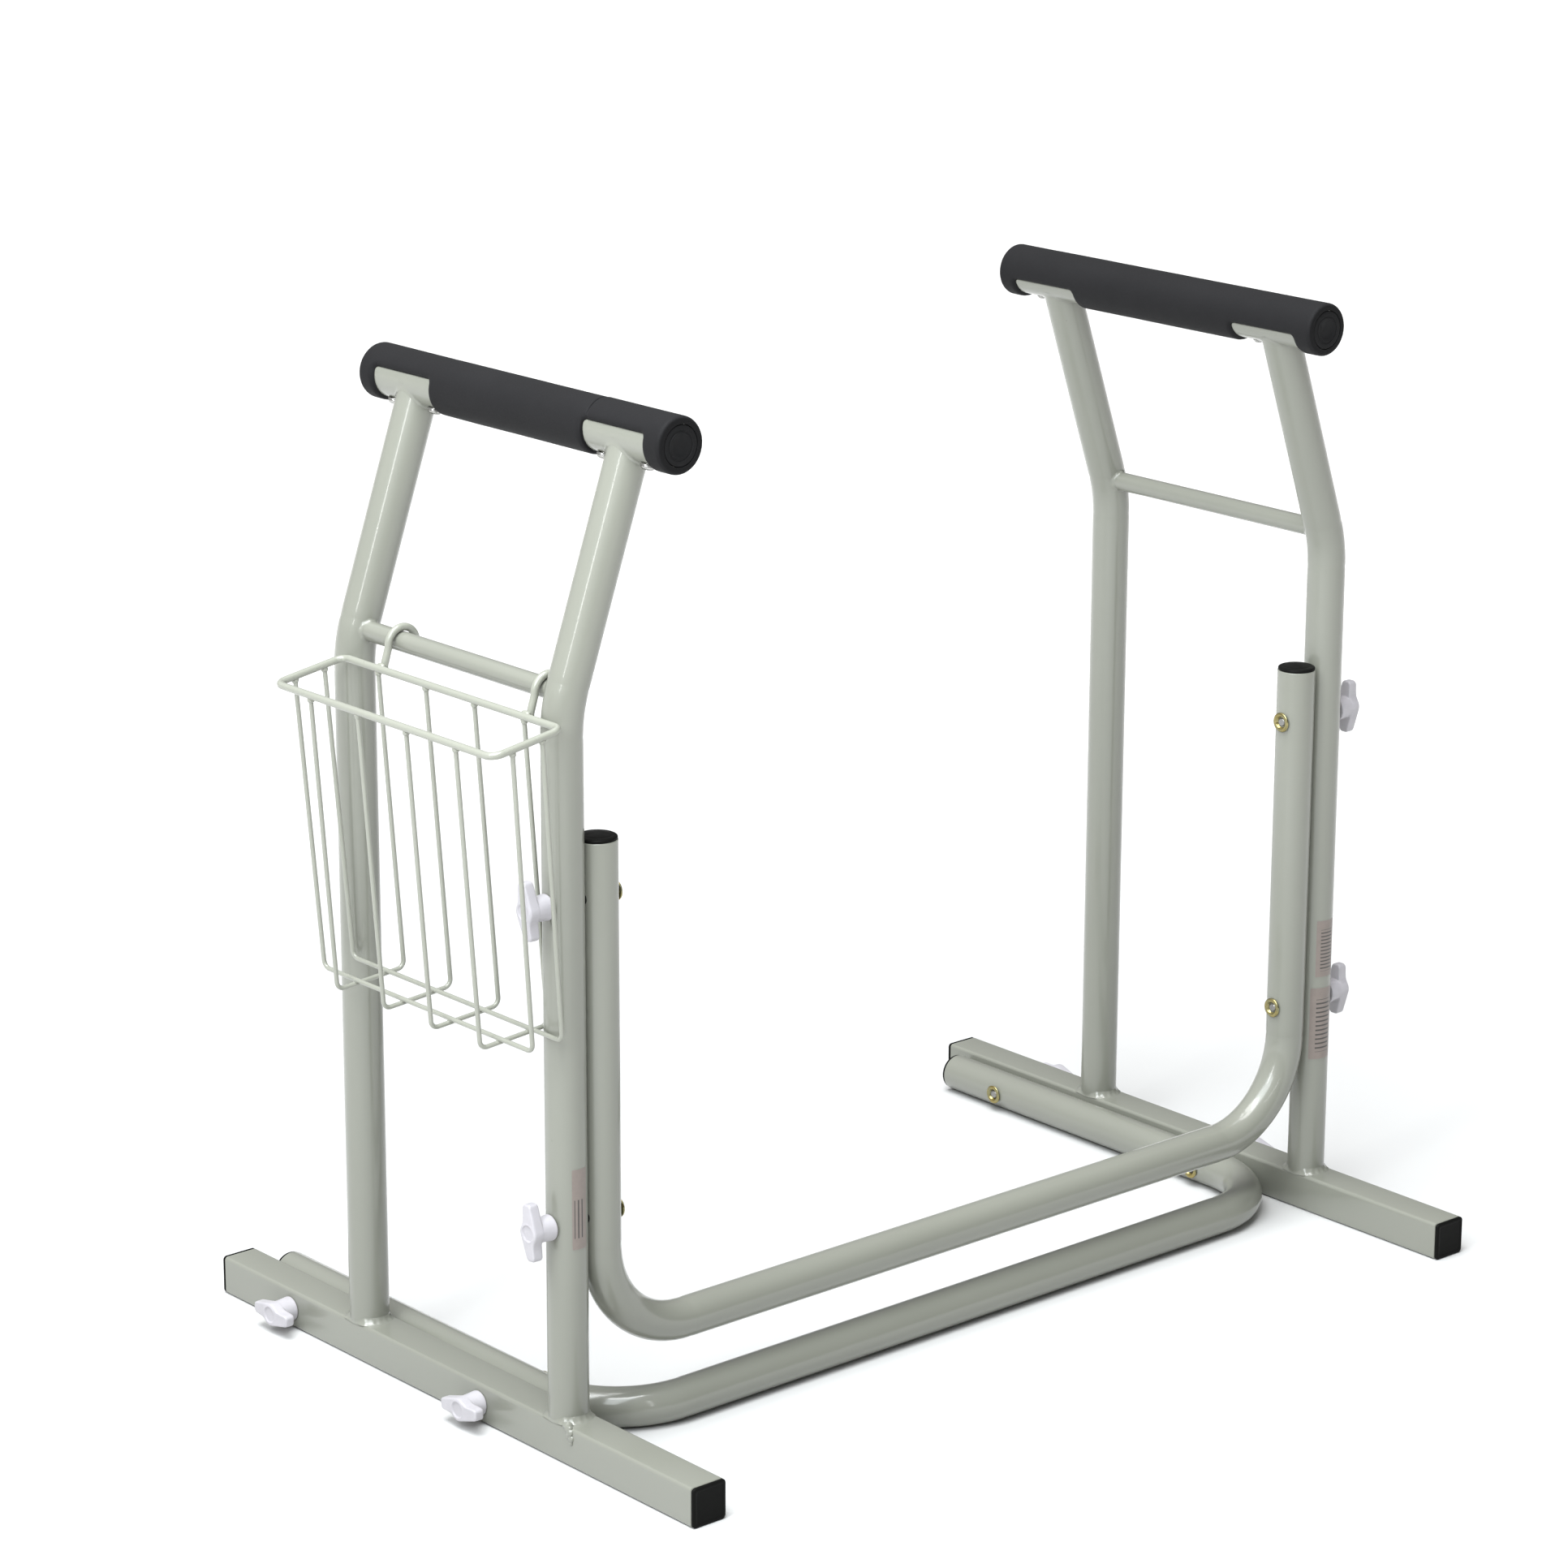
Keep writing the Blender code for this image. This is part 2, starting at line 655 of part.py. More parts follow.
def build_hooks():
    """Hooks of thicker wire, over the rail and down the inside of the rim."""
    leg_x = INNER_X + RIM_R + HOOK_R + GAP
    top_z = RAIL_R + GAP + HOOK_R
    for name, y in (("front", CROSS_Y[0]), ("rear", CROSS_Y[-1])):
        centre = Vector((0, y, top_z - HOOK_BEND))
        over = [centre + Vector((-math.cos(a), 0, math.sin(a))) * HOOK_BEND
                for a in (math.pi * i / 12 for i in range(13))]
        tail = over[-1] - Vector((0, 0, 0.005))
        leg = [Vector((leg_x, y, RIM_IN_Z + z)) for z in (-0.0025, 0.002)]
        bar(f"basket_hook_{name}", [basket_point(*p) for p in [*leg, *over, tail]], HOOK_R, sides=10)


def build_side(side, sign):
    build_foot(side, sign)
    for end, way in (("rear", 1), ("front", -1)):
        build_foot_plug(side, sign, end, way)
    for end, y in ENDS:
        build_upright(side, sign, end, y)
        build_saddle(side, sign, end, y)
        build_screws(side, sign, end, y)
    build_rail(side, sign)
    build_core(side, sign)
    build_foam(side, sign)
    build_arm_plugs(side, sign)


def main():
    clear_scene()
    for side, sign in SIDES:
        build_side(side, sign)
    build_upper_u()
    build_lower_u()
    build_u_plugs()
    build_clamps()
    build_rim()
    build_cage()
    build_hooks()


main()
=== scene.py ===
"""Looks of a toilet safety rail with a hanging wire basket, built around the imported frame.

Metres, +Z up, front at -Y. Places come from the frame's boxes and joints. The named sizes below describe
what a box doesn't give, such as bend radii.
"""

import json
import math

import bmesh
import bpy
from mathutils import Matrix, Vector, noise


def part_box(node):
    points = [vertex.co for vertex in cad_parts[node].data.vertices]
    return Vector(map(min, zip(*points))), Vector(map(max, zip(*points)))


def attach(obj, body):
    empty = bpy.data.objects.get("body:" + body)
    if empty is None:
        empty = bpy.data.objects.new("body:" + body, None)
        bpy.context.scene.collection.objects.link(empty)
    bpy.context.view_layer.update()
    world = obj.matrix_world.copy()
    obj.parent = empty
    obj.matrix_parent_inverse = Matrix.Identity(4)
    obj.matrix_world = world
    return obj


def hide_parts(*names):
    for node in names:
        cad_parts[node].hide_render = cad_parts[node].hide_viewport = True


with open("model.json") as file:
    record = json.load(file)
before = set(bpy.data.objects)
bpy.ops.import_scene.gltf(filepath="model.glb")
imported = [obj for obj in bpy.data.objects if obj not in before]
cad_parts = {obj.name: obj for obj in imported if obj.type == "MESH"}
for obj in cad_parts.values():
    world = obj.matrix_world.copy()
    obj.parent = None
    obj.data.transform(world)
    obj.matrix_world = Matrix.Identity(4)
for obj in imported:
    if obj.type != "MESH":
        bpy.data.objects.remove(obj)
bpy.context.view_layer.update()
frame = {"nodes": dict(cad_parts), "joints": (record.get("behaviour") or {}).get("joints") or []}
JOINTS = {joint["child"]: joint for joint in frame["joints"]}

MM = 0.001
SIDES = (("left", -1), ("right", 1))
ENDS = (("rear", 1), ("front", -1))
TURN = 2 * math.pi
Y_AXIS = Vector((0, 1, 0))
Z_AXIS = Vector((0, 0, 1))

# tube frame
TUBE_R = 12.7 * MM
BEND_Z = 468.4 * MM
BEND_R = 90 * MM
UPPER_BEND = 65 * MM
LOWER_BEND = 62 * MM
FOOT_CORNER = 2.3 * MM
TUBE_SIDES = 56
DIE_MARK = 0.014             # how far a bending die draws the tube in, as a share of its radius
DIE_WIDTH = 1.6 * MM
APPROACH = (1 * MM, 2.5 * MM, 6 * MM)    # extra stations before and after a bend, for the die's mark

# armrests
SADDLE_R = 15 * MM
SADDLE_T = 2 * MM
SADDLE_ANGLE = math.radians(96)
SADDLE_CORNER = 3 * MM
SCREW_OFFSET = 20 * MM
BORE_R = 12.78 * MM
CREASE_Y = -74.5 * MM        # the left sleeve's crease, from the sleeve's middle

# knobs
NECK = 10 * MM
NECK_R = 8.1 * MM
WING_T = 7.5 * MM
WING_HALF = 17.9 * MM
BOSS_R = 7.6 * MM
WING_TURNS = {
    "left": {"upper": 98, "middle": 95, "rear": 177, "front": 182},
    "right": {"upper": 90, "middle": 90, "rear": 3, "front": -2},
}

# basket, from the rail's axis in the basket's own upright position
BASKET_TILT = math.radians(4.42)
RIM_R = 2.3 * MM
RIM_CORNER = 7 * MM
WIRE_R = 1.45 * MM
HOOK_R = 2.4 * MM
HOOK_BEND = 10.5 * MM
RAIL_R = 6.35 * MM
RIM_HALF = 107 * MM
FLOOR_HALF = 104 * MM
INNER_X, OUTER_X = -19.4 * MM, -70.1 * MM
RIM_IN_Z, RIM_OUT_Z = -12.4 * MM, -16.5 * MM
FLOOR_Z = -205.9 * MM
CROSS_Y = (-71.5 * MM, -23.8 * MM, 23.8 * MM, 71.5 * MM)
LONG_X = (-34.0 * MM, -56.0 * MM)


# -------- shader helpers

def node(tree, kind, x=0, **values):
    made = tree.nodes.new(kind)
    made.location = (x, 0)
    for key, value in values.items():
        setattr(made, key, value)
    return made


def new_material(name, color, roughness, metallic=0.0, **sockets):
    mat = bpy.data.materials.new(name)
    mat.use_nodes = True
    tree = mat.node_tree
    shader = tree.nodes["Principled BSDF"]
    shader.inputs["Base Color"].default_value = (*color, 1)
    shader.inputs["Roughness"].default_value = roughness
    shader.inputs["Metallic"].default_value = metallic
    for key, value in sockets.items():
        shader.inputs[key.replace("_", " ")].default_value = value
    return mat, tree, shader


def object_coords(tree):
    return node(tree, "ShaderNodeTexCoord", -1400).outputs["Object"]


def noise_fac(tree, coords, scale, detail=2.0, rough=0.5):
    tex = node(tree, "ShaderNodeTexNoise", -1200)
    tex.inputs["Scale"].default_value = scale
    tex.inputs["Detail"].default_value = detail
    tex.inputs["Roughness"].default_value = rough
    tree.links.new(coords, tex.inputs["Vector"])
    return tex.outputs["Fac"]


def cell_distance(tree, coords, scale):
    tex = node(tree, "ShaderNodeTexVoronoi", -1200)
    tex.inputs["Scale"].default_value = scale
    tree.links.new(coords, tex.inputs["Vector"])
    return tex.outputs["Distance"]


def mapped(tree, value, low, high, to_low, to_high):
    ramp = node(tree, "ShaderNodeMapRange", -900)
    for key, number in zip(("From Min", "From Max", "To Min", "To Max"), (low, high, to_low, to_high)):
        ramp.inputs[key].default_value = number
    tree.links.new(value, ramp.inputs["Value"])
    return ramp.outputs["Result"]


def mixed(tree, fac, one, two):
    """Colour between two colours or sockets."""
    mix = node(tree, "ShaderNodeMix", -600, data_type="RGBA")
    tree.links.new(fac, mix.inputs["Factor"])
    for socket, value in ((mix.inputs[6], one), (mix.inputs[7], two)):
        if isinstance(value, tuple):
            socket.default_value = (*value, 1)
        else:
            tree.links.new(value, socket)
    return mix.outputs[2]


def product(tree, one, two):
    times = node(tree, "ShaderNodeMath", -750, operation="MULTIPLY")
    tree.links.new(one, times.inputs[0])
    tree.links.new(two, times.inputs[1])
    return times.outputs[0]


def bumped(tree, height, strength, distance, below=None):
    bump = node(tree, "ShaderNodeBump", -300)
    bump.inputs["Strength"].default_value = strength
    bump.inputs["Distance"].default_value = distance
    tree.links.new(height, bump.inputs["Height"])
    if below is not None:
        tree.links.new(below, bump.inputs["Normal"])
    return bump.outputs["Normal"]


def shade(color, factor):
    return tuple(min(1.0, c * factor) for c in color)


# -------- materials

def paint_material(name, color):
    """Glossy powder coat: fine orange peel, slow tone changes and a few specks."""
    mat, tree, shader = new_material(name, color, 0.34, Specular_IOR_Level=0.3, Coat_Weight=0.85,
                                     Coat_Roughness=0.13)
    coords = object_coords(tree)
    tone = mapped(tree, noise_fac(tree, coords, 5.0, 1.0), 0.3, 0.7, 0.0, 1.0)
    base = mixed(tree, tone, shade(color, 0.97), shade(color, 1.03))
    speck = mapped(tree, cell_distance(tree, coords, 70.0), 0.030, 0.045, 1.0, 0.0)
    rare = mapped(tree, noise_fac(tree, coords, 23.0, 1.0), 0.62, 0.66, 0.0, 0.25)
    base = mixed(tree, product(tree, speck, rare), base, (0.12, 0.11, 0.09))
    tree.links.new(base, shader.inputs["Base Color"])
    rough = mapped(tree, noise_fac(tree, coords, 14.0, 2.0), 0.3, 0.7, 0.30, 0.40)
    tree.links.new(rough, shader.inputs["Roughness"])
    wave = bumped(tree, noise_fac(tree, coords, 24.0, 1.0), 0.09, 0.8 * MM)
    peel = bumped(tree, noise_fac(tree, coords, 420.0, 0.0), 0.05, 0.12 * MM, wave)
    tree.links.new(peel, shader.inputs["Normal"])
    tree.links.new(peel, shader.inputs["Coat Normal"])
    return mat


def foam_material():
    """Closed-skin foam: fine cells and a soft sheen, paler where rubbed, with painted shade on its ends."""
    color = (0.0092, 0.0089, 0.0098)
    mat, tree, shader = new_material("foam", color, 0.62, Specular_IOR_Level=0.16, Sheen_Weight=0.02)
    coords = object_coords(tree)
    rubbed = mapped(tree, noise_fac(tree, coords, 26.0, 5.0, 0.65), 0.35, 0.75, 0.0, 1.0)
    grain = mapped(tree, noise_fac(tree, coords, 1900.0, 2.0), 0.3, 0.7, 0.0, 1.0)
    base = mixed(tree, rubbed, shade(color, 0.9), shade(color, 1.12))
    base = mixed(tree, mapped(tree, grain, 0.0, 1.0, 0.0, 0.22), base, shade(color, 1.35))
    facing_way = node(tree, "ShaderNodeSeparateXYZ", -1000)
    tree.links.new(node(tree, "ShaderNodeNewGeometry", -1200).outputs["Normal"], facing_way.inputs[0])
    # Painted shade: faces that point along the sleeve, at its ends, are made darker.
    painted_end_shade = product(tree, facing_way.outputs["Y"], facing_way.outputs["Y"])
    base = mixed(tree, mapped(tree, painted_end_shade, 0.5, 0.85, 0.0, 1.0), base, shade(color, 0.45))
    tree.links.new(base, shader.inputs["Base Color"])
    tree.links.new(mapped(tree, grain, 0.0, 1.0, 0.62, 0.80), shader.inputs["Roughness"])
    soft = bumped(tree, noise_fac(tree, coords, 90.0, 3.0), 0.12, 0.5 * MM)
    cells = bumped(tree, cell_distance(tree, coords, 1500.0), 0.22, 0.12 * MM, soft)
    tree.links.new(cells, shader.inputs["Normal"])
    return mat


def plastic_material(name, color, roughness, grain, strength, shine):
    """Moulded plastic with a fine etched grain and soft flow marks."""
    mat, tree, shader = new_material(name, color, roughness, Specular_IOR_Level=shine)
    coords = object_coords(tree)
    flow = mapped(tree, noise_fac(tree, coords, 60.0, 4.0, 0.6), 0.3, 0.7, 0.0, 1.0)
    tree.links.new(mixed(tree, flow, shade(color, 0.93), shade(color, 1.06)), shader.inputs["Base Color"])
    rough = mapped(tree, noise_fac(tree, coords, 220.0, 3.0), 0.3, 0.7, roughness - 0.06, roughness + 0.08)
    tree.links.new(rough, shader.inputs["Roughness"])
    fine = bumped(tree, noise_fac(tree, coords, grain, 2.0), strength, 0.12 * MM)
    tree.links.new(fine, shader.inputs["Normal"])
    return mat


def metal_material(name, color, tint, roughness):
    """Plated steel with a cloudy tint, fine scratches and uneven gloss."""
    mat, tree, shader = new_material(name, color, roughness, 1.0)
    coords = object_coords(tree)
    cloud = mapped(tree, noise_fac(tree, coords, 180.0, 3.0), 0.35, 0.65, 0.0, 1.0)
    tree.links.new(mixed(tree, cloud, color, tint), shader.inputs["Base Color"])
    rough = mapped(tree, noise_fac(tree, coords, 700.0, 4.0), 0.3, 0.7, roughness * 0.7, roughness * 1.5)
    tree.links.new(rough, shader.inputs["Roughness"])
    fine = bumped(tree, noise_fac(tree, coords, 1600.0, 3.0), 0.10, 0.05 * MM)
    tree.links.new(fine, shader.inputs["Normal"])
    return mat


def sticker_material(name, across, count, low, high):
    """A silver-pink sticker with a block of plain, evenly spaced bars and no lettering."""
    color = (0.21, 0.175, 0.155)
    mat, tree, shader = new_material(name, color, 0.38, Coat_Weight=0.2, Coat_Roughness=0.2)
    texture = node(tree, "ShaderNodeTexCoord", -1400)
    parts = node(tree, "ShaderNodeSeparateXYZ", -1200)
    tree.links.new(texture.outputs["Generated"], parts.inputs[0])
    bars = node(tree, "ShaderNodeMath", -1000, operation="PINGPONG")
    tree.links.new(parts.outputs[across], bars.inputs[0])
    bars.inputs[1].default_value = 0.5 / count
    mask = mapped(tree, bars.outputs[0], 0.30 / count, 0.34 / count, 0.0, 0.9)
    for axis, (start, end) in zip("XZ", (low, high)):
        for edge, (inside, outside) in ((start, (0.0, 1.0)), (end, (1.0, 0.0))):
            step = mapped(tree, parts.outputs[axis], edge - 0.004, edge + 0.004, inside, outside)
            mask = product(tree, step, mask)
    cloud = mapped(tree, noise_fac(tree, texture.outputs["Object"], 240.0, 2.0), 0.3, 0.7, 0.0, 1.0)
    base = mixed(tree, cloud, shade(color, 0.96), shade(color, 1.05))
    tree.links.new(mixed(tree, mask, base, (0.035, 0.032, 0.03)), shader.inputs["Base Color"])
    fine = noise_fac(tree, texture.outputs["Object"], 400.0, 2.0)
    tree.links.new(bumped(tree, fine, 0.05, 0.1 * MM), shader.inputs["Normal"])
    return mat


PAINT = (0.217, 0.222, 0.189)
MATERIALS = {
    "paint": paint_material("powder_coat", PAINT),
    "basket": paint_material("basket_coat", shade(PAINT, 1.28)),
    "foam": foam_material(),
    "black": plastic_material("black_plastic", (0.0065, 0.0065, 0.006), 0.40, 900.0, 0.08, 0.05),
    "cap": plastic_material("cap_plastic", (0.0085, 0.0085, 0.009), 0.55, 1300.0, 0.12, 0.12),
    "white": plastic_material("white_plastic", (0.44, 0.425, 0.45), 0.34, 1400.0, 0.05, 0.5),
    "steel": metal_material("bright_steel", (0.46, 0.455, 0.44), (0.36, 0.355, 0.34), 0.22),
    "zinc": metal_material("yellow_zinc", (0.36, 0.29, 0.11), (0.27, 0.26, 0.15), 0.3),
    "core": metal_material("plain_steel", (0.34, 0.335, 0.325), (0.27, 0.265, 0.255), 0.35),
    "label_left": sticker_material("label_left", "X", 4, (0.12, 0.80), (0.14, 0.62)),
    "label_right": sticker_material("label_right", "Z", 16, (0.20, 0.90), (0.10, 0.84)),
}


# -------- mesh helpers

def span(name):
    """Lowest corner, highest corner and centre of a CAD node."""
    low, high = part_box(name)
    return low, high, (low + high) / 2


def skin(rings, closed=False):
    """Vertices and faces through a stack of equal rings, capped unless the stack closes on itself."""
    count, size = len(rings), len(rings[0])
    verts = [point for ring in rings for point in ring]
    faces = []
    for k in range(count if closed else count - 1):
        a, b = k * size, (k + 1) % count * size
        faces += [(a + i, a + (i + 1) % size, b + (i + 1) % size, b + i) for i in range(size)]
    if not closed:
        faces += [tuple(range(size)), tuple((count - 1) * size + i for i in range(size))]
    return verts, faces


def merged(*shapes):
    """Several (verts, faces) shapes as one."""
    verts, faces = [], []
    for some, more in shapes:
        base = len(verts)
        verts += list(some)
        faces += [tuple(base + i for i in face) for face in more]
    return verts, faces


def moved(shape, matrix):
    return [matrix @ Vector(v) for v in shape[0]], shape[1]


def mesh_from(name, shape, sharp=38):
    verts, faces = shape
    mesh = bpy.data.meshes.new(name)
    mesh.from_pydata([tuple(v) for v in verts], [], faces)
    bm = bmesh.new()
    bm.from_mesh(mesh)
    bmesh.ops.remove_doubles(bm, verts=bm.verts, dist=1e-6)
    bmesh.ops.recalc_face_normals(bm, faces=bm.faces)
    bm.to_mesh(mesh)
    bm.free()
    mesh.shade_smooth()
    mesh.set_sharp_from_angle(angle=math.radians(sharp))
    return mesh


def linked(name, data):
    """A new object in the scene."""
    obj = bpy.data.objects.new(name, data)
    bpy.context.scene.collection.objects.link(obj)
    return obj


def applied(obj, *helpers):
    """The mesh of an object with its modifiers applied. The object and its helpers are removed."""
    bpy.context.view_layer.update()
    result = bpy.data.meshes.new_from_object(obj.evaluated_get(bpy.context.evaluated_depsgraph_get()))
    for extra in (obj, *helpers):
        bpy.data.objects.remove(extra, do_unlink=True)
    return result


def place(name, mesh, look, body="frame", replaces=()):
    """A finished piece: its material, the body it rides on and the CAD nodes it stands for."""
    mesh.materials.clear()
    mesh.materials.append(MATERIALS[look])
    obj = linked(name, mesh)
    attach(obj, body)
    if replaces:
        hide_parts(*replaces)
    return obj


def piece(name, shape, look, body="frame", replaces=(), sharp=38):
    return place(name, mesh_from(name, shape, sharp), look, body, replaces)


def ring_at(centre, across, up, radius, sides):
    return [centre + (across * math.cos(TURN * i / sides) + up * math.sin(TURN * i / sides)) * radius
            for i in range(sides)]


def directions(points, closed=False):
    """Unit direction of travel at each point of a path."""
    count = len(points)
    found = []
    for i in range(count):
        before = points[i - 1] if closed or i else points[i]
        after = points[(i + 1) % count] if closed or i < count - 1 else points[i]
        found.append((after - before).normalized())
    return found


def sweep(points, normal, radius, sides=TUBE_SIDES, closed=False, tip=0.0):
    """A round bar along a path that lies in the plane of normal. radius is a number or one per point."""
    radii = radius if isinstance(radius, list) else [radius] * len(points)
    ways = directions(points, closed)
    rings = [ring_at(p, normal.cross(d).normalized(), normal, r, sides)
             for p, d, r in zip(points, ways, radii)]
    if tip and not closed:
        start = tip_rings(points[0], ways[0], 1, normal, radii[0], sides, tip)
        end = tip_rings(points[-1], ways[-1], -1, normal, radii[-1], sides, tip)
        rings = start[::-1] + rings[1:-1] + end
    return skin(rings, closed)


def tip_rings(end, way, inward, normal, radius, sides, tip, steps=4):
    """Rings that round the edge of a bar's end, from the body out to the end face."""
    across = normal.cross(way).normalized()
    rings = []
    for k in range(steps + 1):
        a = math.pi / 2 * k / steps
        centre = end + way * (inward * tip * (1 - math.sin(a)))
        rings.append(ring_at(centre, across, normal, radius - tip * (1 - math.cos(a)), sides))
    return rings


def arc(centre, start, end, turn, steps):
    a, b = start - centre, end - centre
    across = (b - a * math.cos(turn)) / math.sin(turn)
    return [centre + a * math.cos(turn * i / steps) + across * math.sin(turn * i / steps)
            for i in range(steps + 1)]


def rounded(points, radius, steps, approach=()):
    """A polyline with arcs at its inner corners. approach adds points this far before and after each."""
    pts = [Vector(p) for p in points]
    out, marks = [pts[0]], []
    for before, corner, after in zip(pts, pts[1:], pts[2:]):
        u, v = (before - corner).normalized(), (after - corner).normalized()
        turn = math.pi - u.angle(v)
        reach = radius * math.tan(turn / 2)
        start, end = corner + u * reach, corner + v * reach
        centre = corner + (u + v).normalized() * (radius / math.cos(turn / 2))
        out += [start + u * d for d in sorted(approach, reverse=True)]
        out += arc(centre, start, end, turn, steps)
        out += [end + v * d for d in sorted(approach)]
        marks += [start, end]
    return out + [pts[-1]], marks


def die_marked(points, marks):
    """Radii of a tube that is drawn in slightly where each bend starts and ends."""
    radii = []
    for p in points:
        near = min((p - m).length for m in marks) / DIE_WIDTH
        radii.append(TUBE_R * (1 - DIE_MARK * math.exp(-near * near)))
    return radii


def in_mm(points):
    return [(x * MM, r * MM) for x, r in points]


def lathe(profile, sides=48, closed=False):
    """A solid turned about +X from (x, radius) points, or a ring turned from a closed outline."""
    turns = [(math.cos(TURN * i / sides), math.sin(TURN * i / sides)) for i in range(sides)]
    return skin([[Vector((x, r * u, r * v)) for u, v in turns] for x, r in profile], closed)


def facing(point, way):
    """Places a shape that was made along +X at a point, looking along way."""
    return Matrix.Translation(point) @ Vector(way).to_track_quat("X", "Z").to_matrix().to_4x4()


def lump(centre, size_mm, seed, steps=14):
    """A weld blob: an uneven little ellipsoid."""
    size = [s * MM for s in size_mm]
    rings = []
    for k in range(1, steps):
        v = math.pi * k / steps
        ring = []
        for i in range(steps * 2):
            a = math.pi * i / steps
            d = Vector((math.sin(v) * math.cos(a), math.sin(v) * math.sin(a), math.cos(v)))
            swell = 1 + 0.16 * noise.noise(d * 1.7 + Vector((seed * 3.1, 0, 0)))
            ring.append(centre + Vector((d.x * size[0], d.y * size[1], d.z * size[2])) * swell)
        rings.append(ring)
    return skin(rings)


def remeshed(name, shape, voxel, smooth):
    """Fuses overlapping closed shapes into one smooth skin, as a moulding or a weld has."""
    obj = linked(name + "_parts", mesh_from(name + "_parts", shape))
    fuse = obj.modifiers.new("fuse", "REMESH")
    fuse.mode = "VOXEL"
    fuse.voxel_size = voxel
    soften = obj.modifiers.new("soften", "SMOOTH")
    soften.factor = 0.5
    soften.iterations = smooth
    return applied(obj)


def rounded_square(y, half, corner, steps=7):
    points = []
    for quarter in range(4):
        for i in range(steps + 1):
            a = math.pi / 2 * (quarter + i / steps)
            cx = (half - corner) * (1 if quarter in (0, 3) else -1)
            cz = (half - corner) * (1 if quarter in (0, 1) else -1)
            points.append(Vector((cx + corner * math.cos(a), y, cz + corner * math.sin(a))))
    return points


def bead(a_ring, corner_ring, b_ring, fullness=0.45, ripple=0.12, beats=17, steps=5):
    """A weld between two surfaces: a rippled skin from ring a to ring b, closed through the corner ring."""
    rings = []
    for s in range(steps + 1):
        t = s / steps
        row = []
        for k, (a, c, b) in enumerate(zip(a_ring, corner_ring, b_ring)):
            phase = TURN * beats * k / len(a_ring)
            pull = fullness + ripple * math.sin(phase) + 0.08 * noise.noise(a * 900)
            control = (a + b) / 2 * (1 - pull) + c * pull
            row.append(a * (1 - t) ** 2 + control * 2 * t * (1 - t) + b * t * t)
        rings.append(row)
    return skin(rings + [list(corner_ring)], closed=True)


def cope_rings(origin, way, along, radius, other, size, sides=72):
    """Three rings for the weld where a tube that points to way meets a cylinder of radius other."""
    across = along.cross(way).normalized()

    def on_cylinder(r, a, back):
        side = across * math.cos(a) + along * math.sin(a)
        depth = math.sqrt(max(other ** 2 - (r * math.cos(a)) ** 2, (0.35 * other) ** 2))
        return origin + side * r + way * (depth + back)

    angles = [TURN * i / sides for i in range(sides)]
    on_tube = [on_cylinder(radius + 0.05 * MM, a, size) for a in angles]
    corner = [on_cylinder(radius - 0.3 * MM, a, -0.3 * MM) for a in angles]
    on_other = [on_cylinder(radius + size, a, 0.02 * MM) for a in angles]
    return on_tube, corner, on_other


# -------- side frames

def foot_x(side):
    return span(f"foot_{side}")[2].x


def arm_axis(side):
    return span(f"arm_core_{side}")[2]


def lean_vector(side):
    """Up along the leaning part of an upright."""
    arm = arm_axis(side)
    return Vector((arm.x - foot_x(side), 0, arm.z - BEND_Z)).normalized()


def foot_top():
    return span("foot_left")[1].z


def build_foot(side):
    low, high, centre = span(f"foot_{side}")
    half = (high.x - low.x) / 2
    reach = (high.y - low.y) / 2
    stations = [(-reach, half - 0.4 * MM), (-reach + 0.4 * MM, half), (reach - 0.4 * MM, half),
                (reach, half - 0.4 * MM)]
    shape = skin([rounded_square(y, h, FOOT_CORNER) for y, h in stations])
    piece(f"look_foot_{side}", moved(shape, Matrix.Translation(centre)), "paint", replaces=[f"foot_{side}"])


def build_foot_plug(side, end, way):
    low, high, centre = span(f"foot_plug_{side}_{end}")
    half = (high.x - low.x) / 2
    face = (high.y if way > 0 else low.y) - way * 2.2 * MM
    stack = [(-13.5, -1.9, 1.6), (0.02, -1.9, 1.6), (0.02, -0.3, 2.4), (0.3, 0.0, 2.6), (1.3, 0.0, 2.6),
             (1.75, -0.2, 2.5), (2.1, -0.7, 2.2), (2.2, -1.3, 1.9), (2.2, -2.3, 1.6), (2.05, -2.6, 1.4),
             (2.0, -3.0, 1.2)]
    rings = [rounded_square(way * y * MM, half + inset * MM, corner * MM) for y, inset, corner in stack]
    shape = moved(skin(rings), Matrix.Translation((centre.x, face, centre.z)))
    piece(f"look_foot_plug_{side}_{end}", shape, "black", replaces=[f"foot_plug_{side}_{end}"], sharp=50)


def upright_points(side, y):
    arm = arm_axis(side)
    corners = [(foot_x(side), y, foot_top() + 0.2 * MM), (foot_x(side), y, BEND_Z), (arm.x, y, arm.z)]
    return rounded(corners, BEND_R, 12, APPROACH)


def build_upright(side, end):
    name = f"upright_{side}_{end}"
    y = span(name)[2].y
    points, marks = upright_points(side, y)
    points = points[:-1]
    radii = die_marked(points, marks)
    rings = [ring_at(p, Y_AXIS.cross(d).normalized(), Y_AXIS, r, TUBE_SIDES)
             for p, d, r in zip(points, directions(points + [points[-1] + lean_vector(side)])[:-1], radii)]
    arm, lean = Vector((arm_axis(side).x, y, arm_axis(side).z)), lean_vector(side)
    across = Y_AXIS.cross(lean).normalized()
    coped = []
    for i in range(TUBE_SIDES):
        a = TURN * i / TUBE_SIDES
        reach = TUBE_R * math.cos(a)
        depth = math.sqrt(SADDLE_R ** 2 - reach ** 2)
        coped.append(arm + across * reach + Y_AXIS * TUBE_R * math.sin(a) - lean * depth)
    piece(f"look_{name}", skin(rings + [coped]), "paint", replaces=[name])
    build_saddle_weld(side, end, arm, lean)
    build_base_weld(side, end, y)


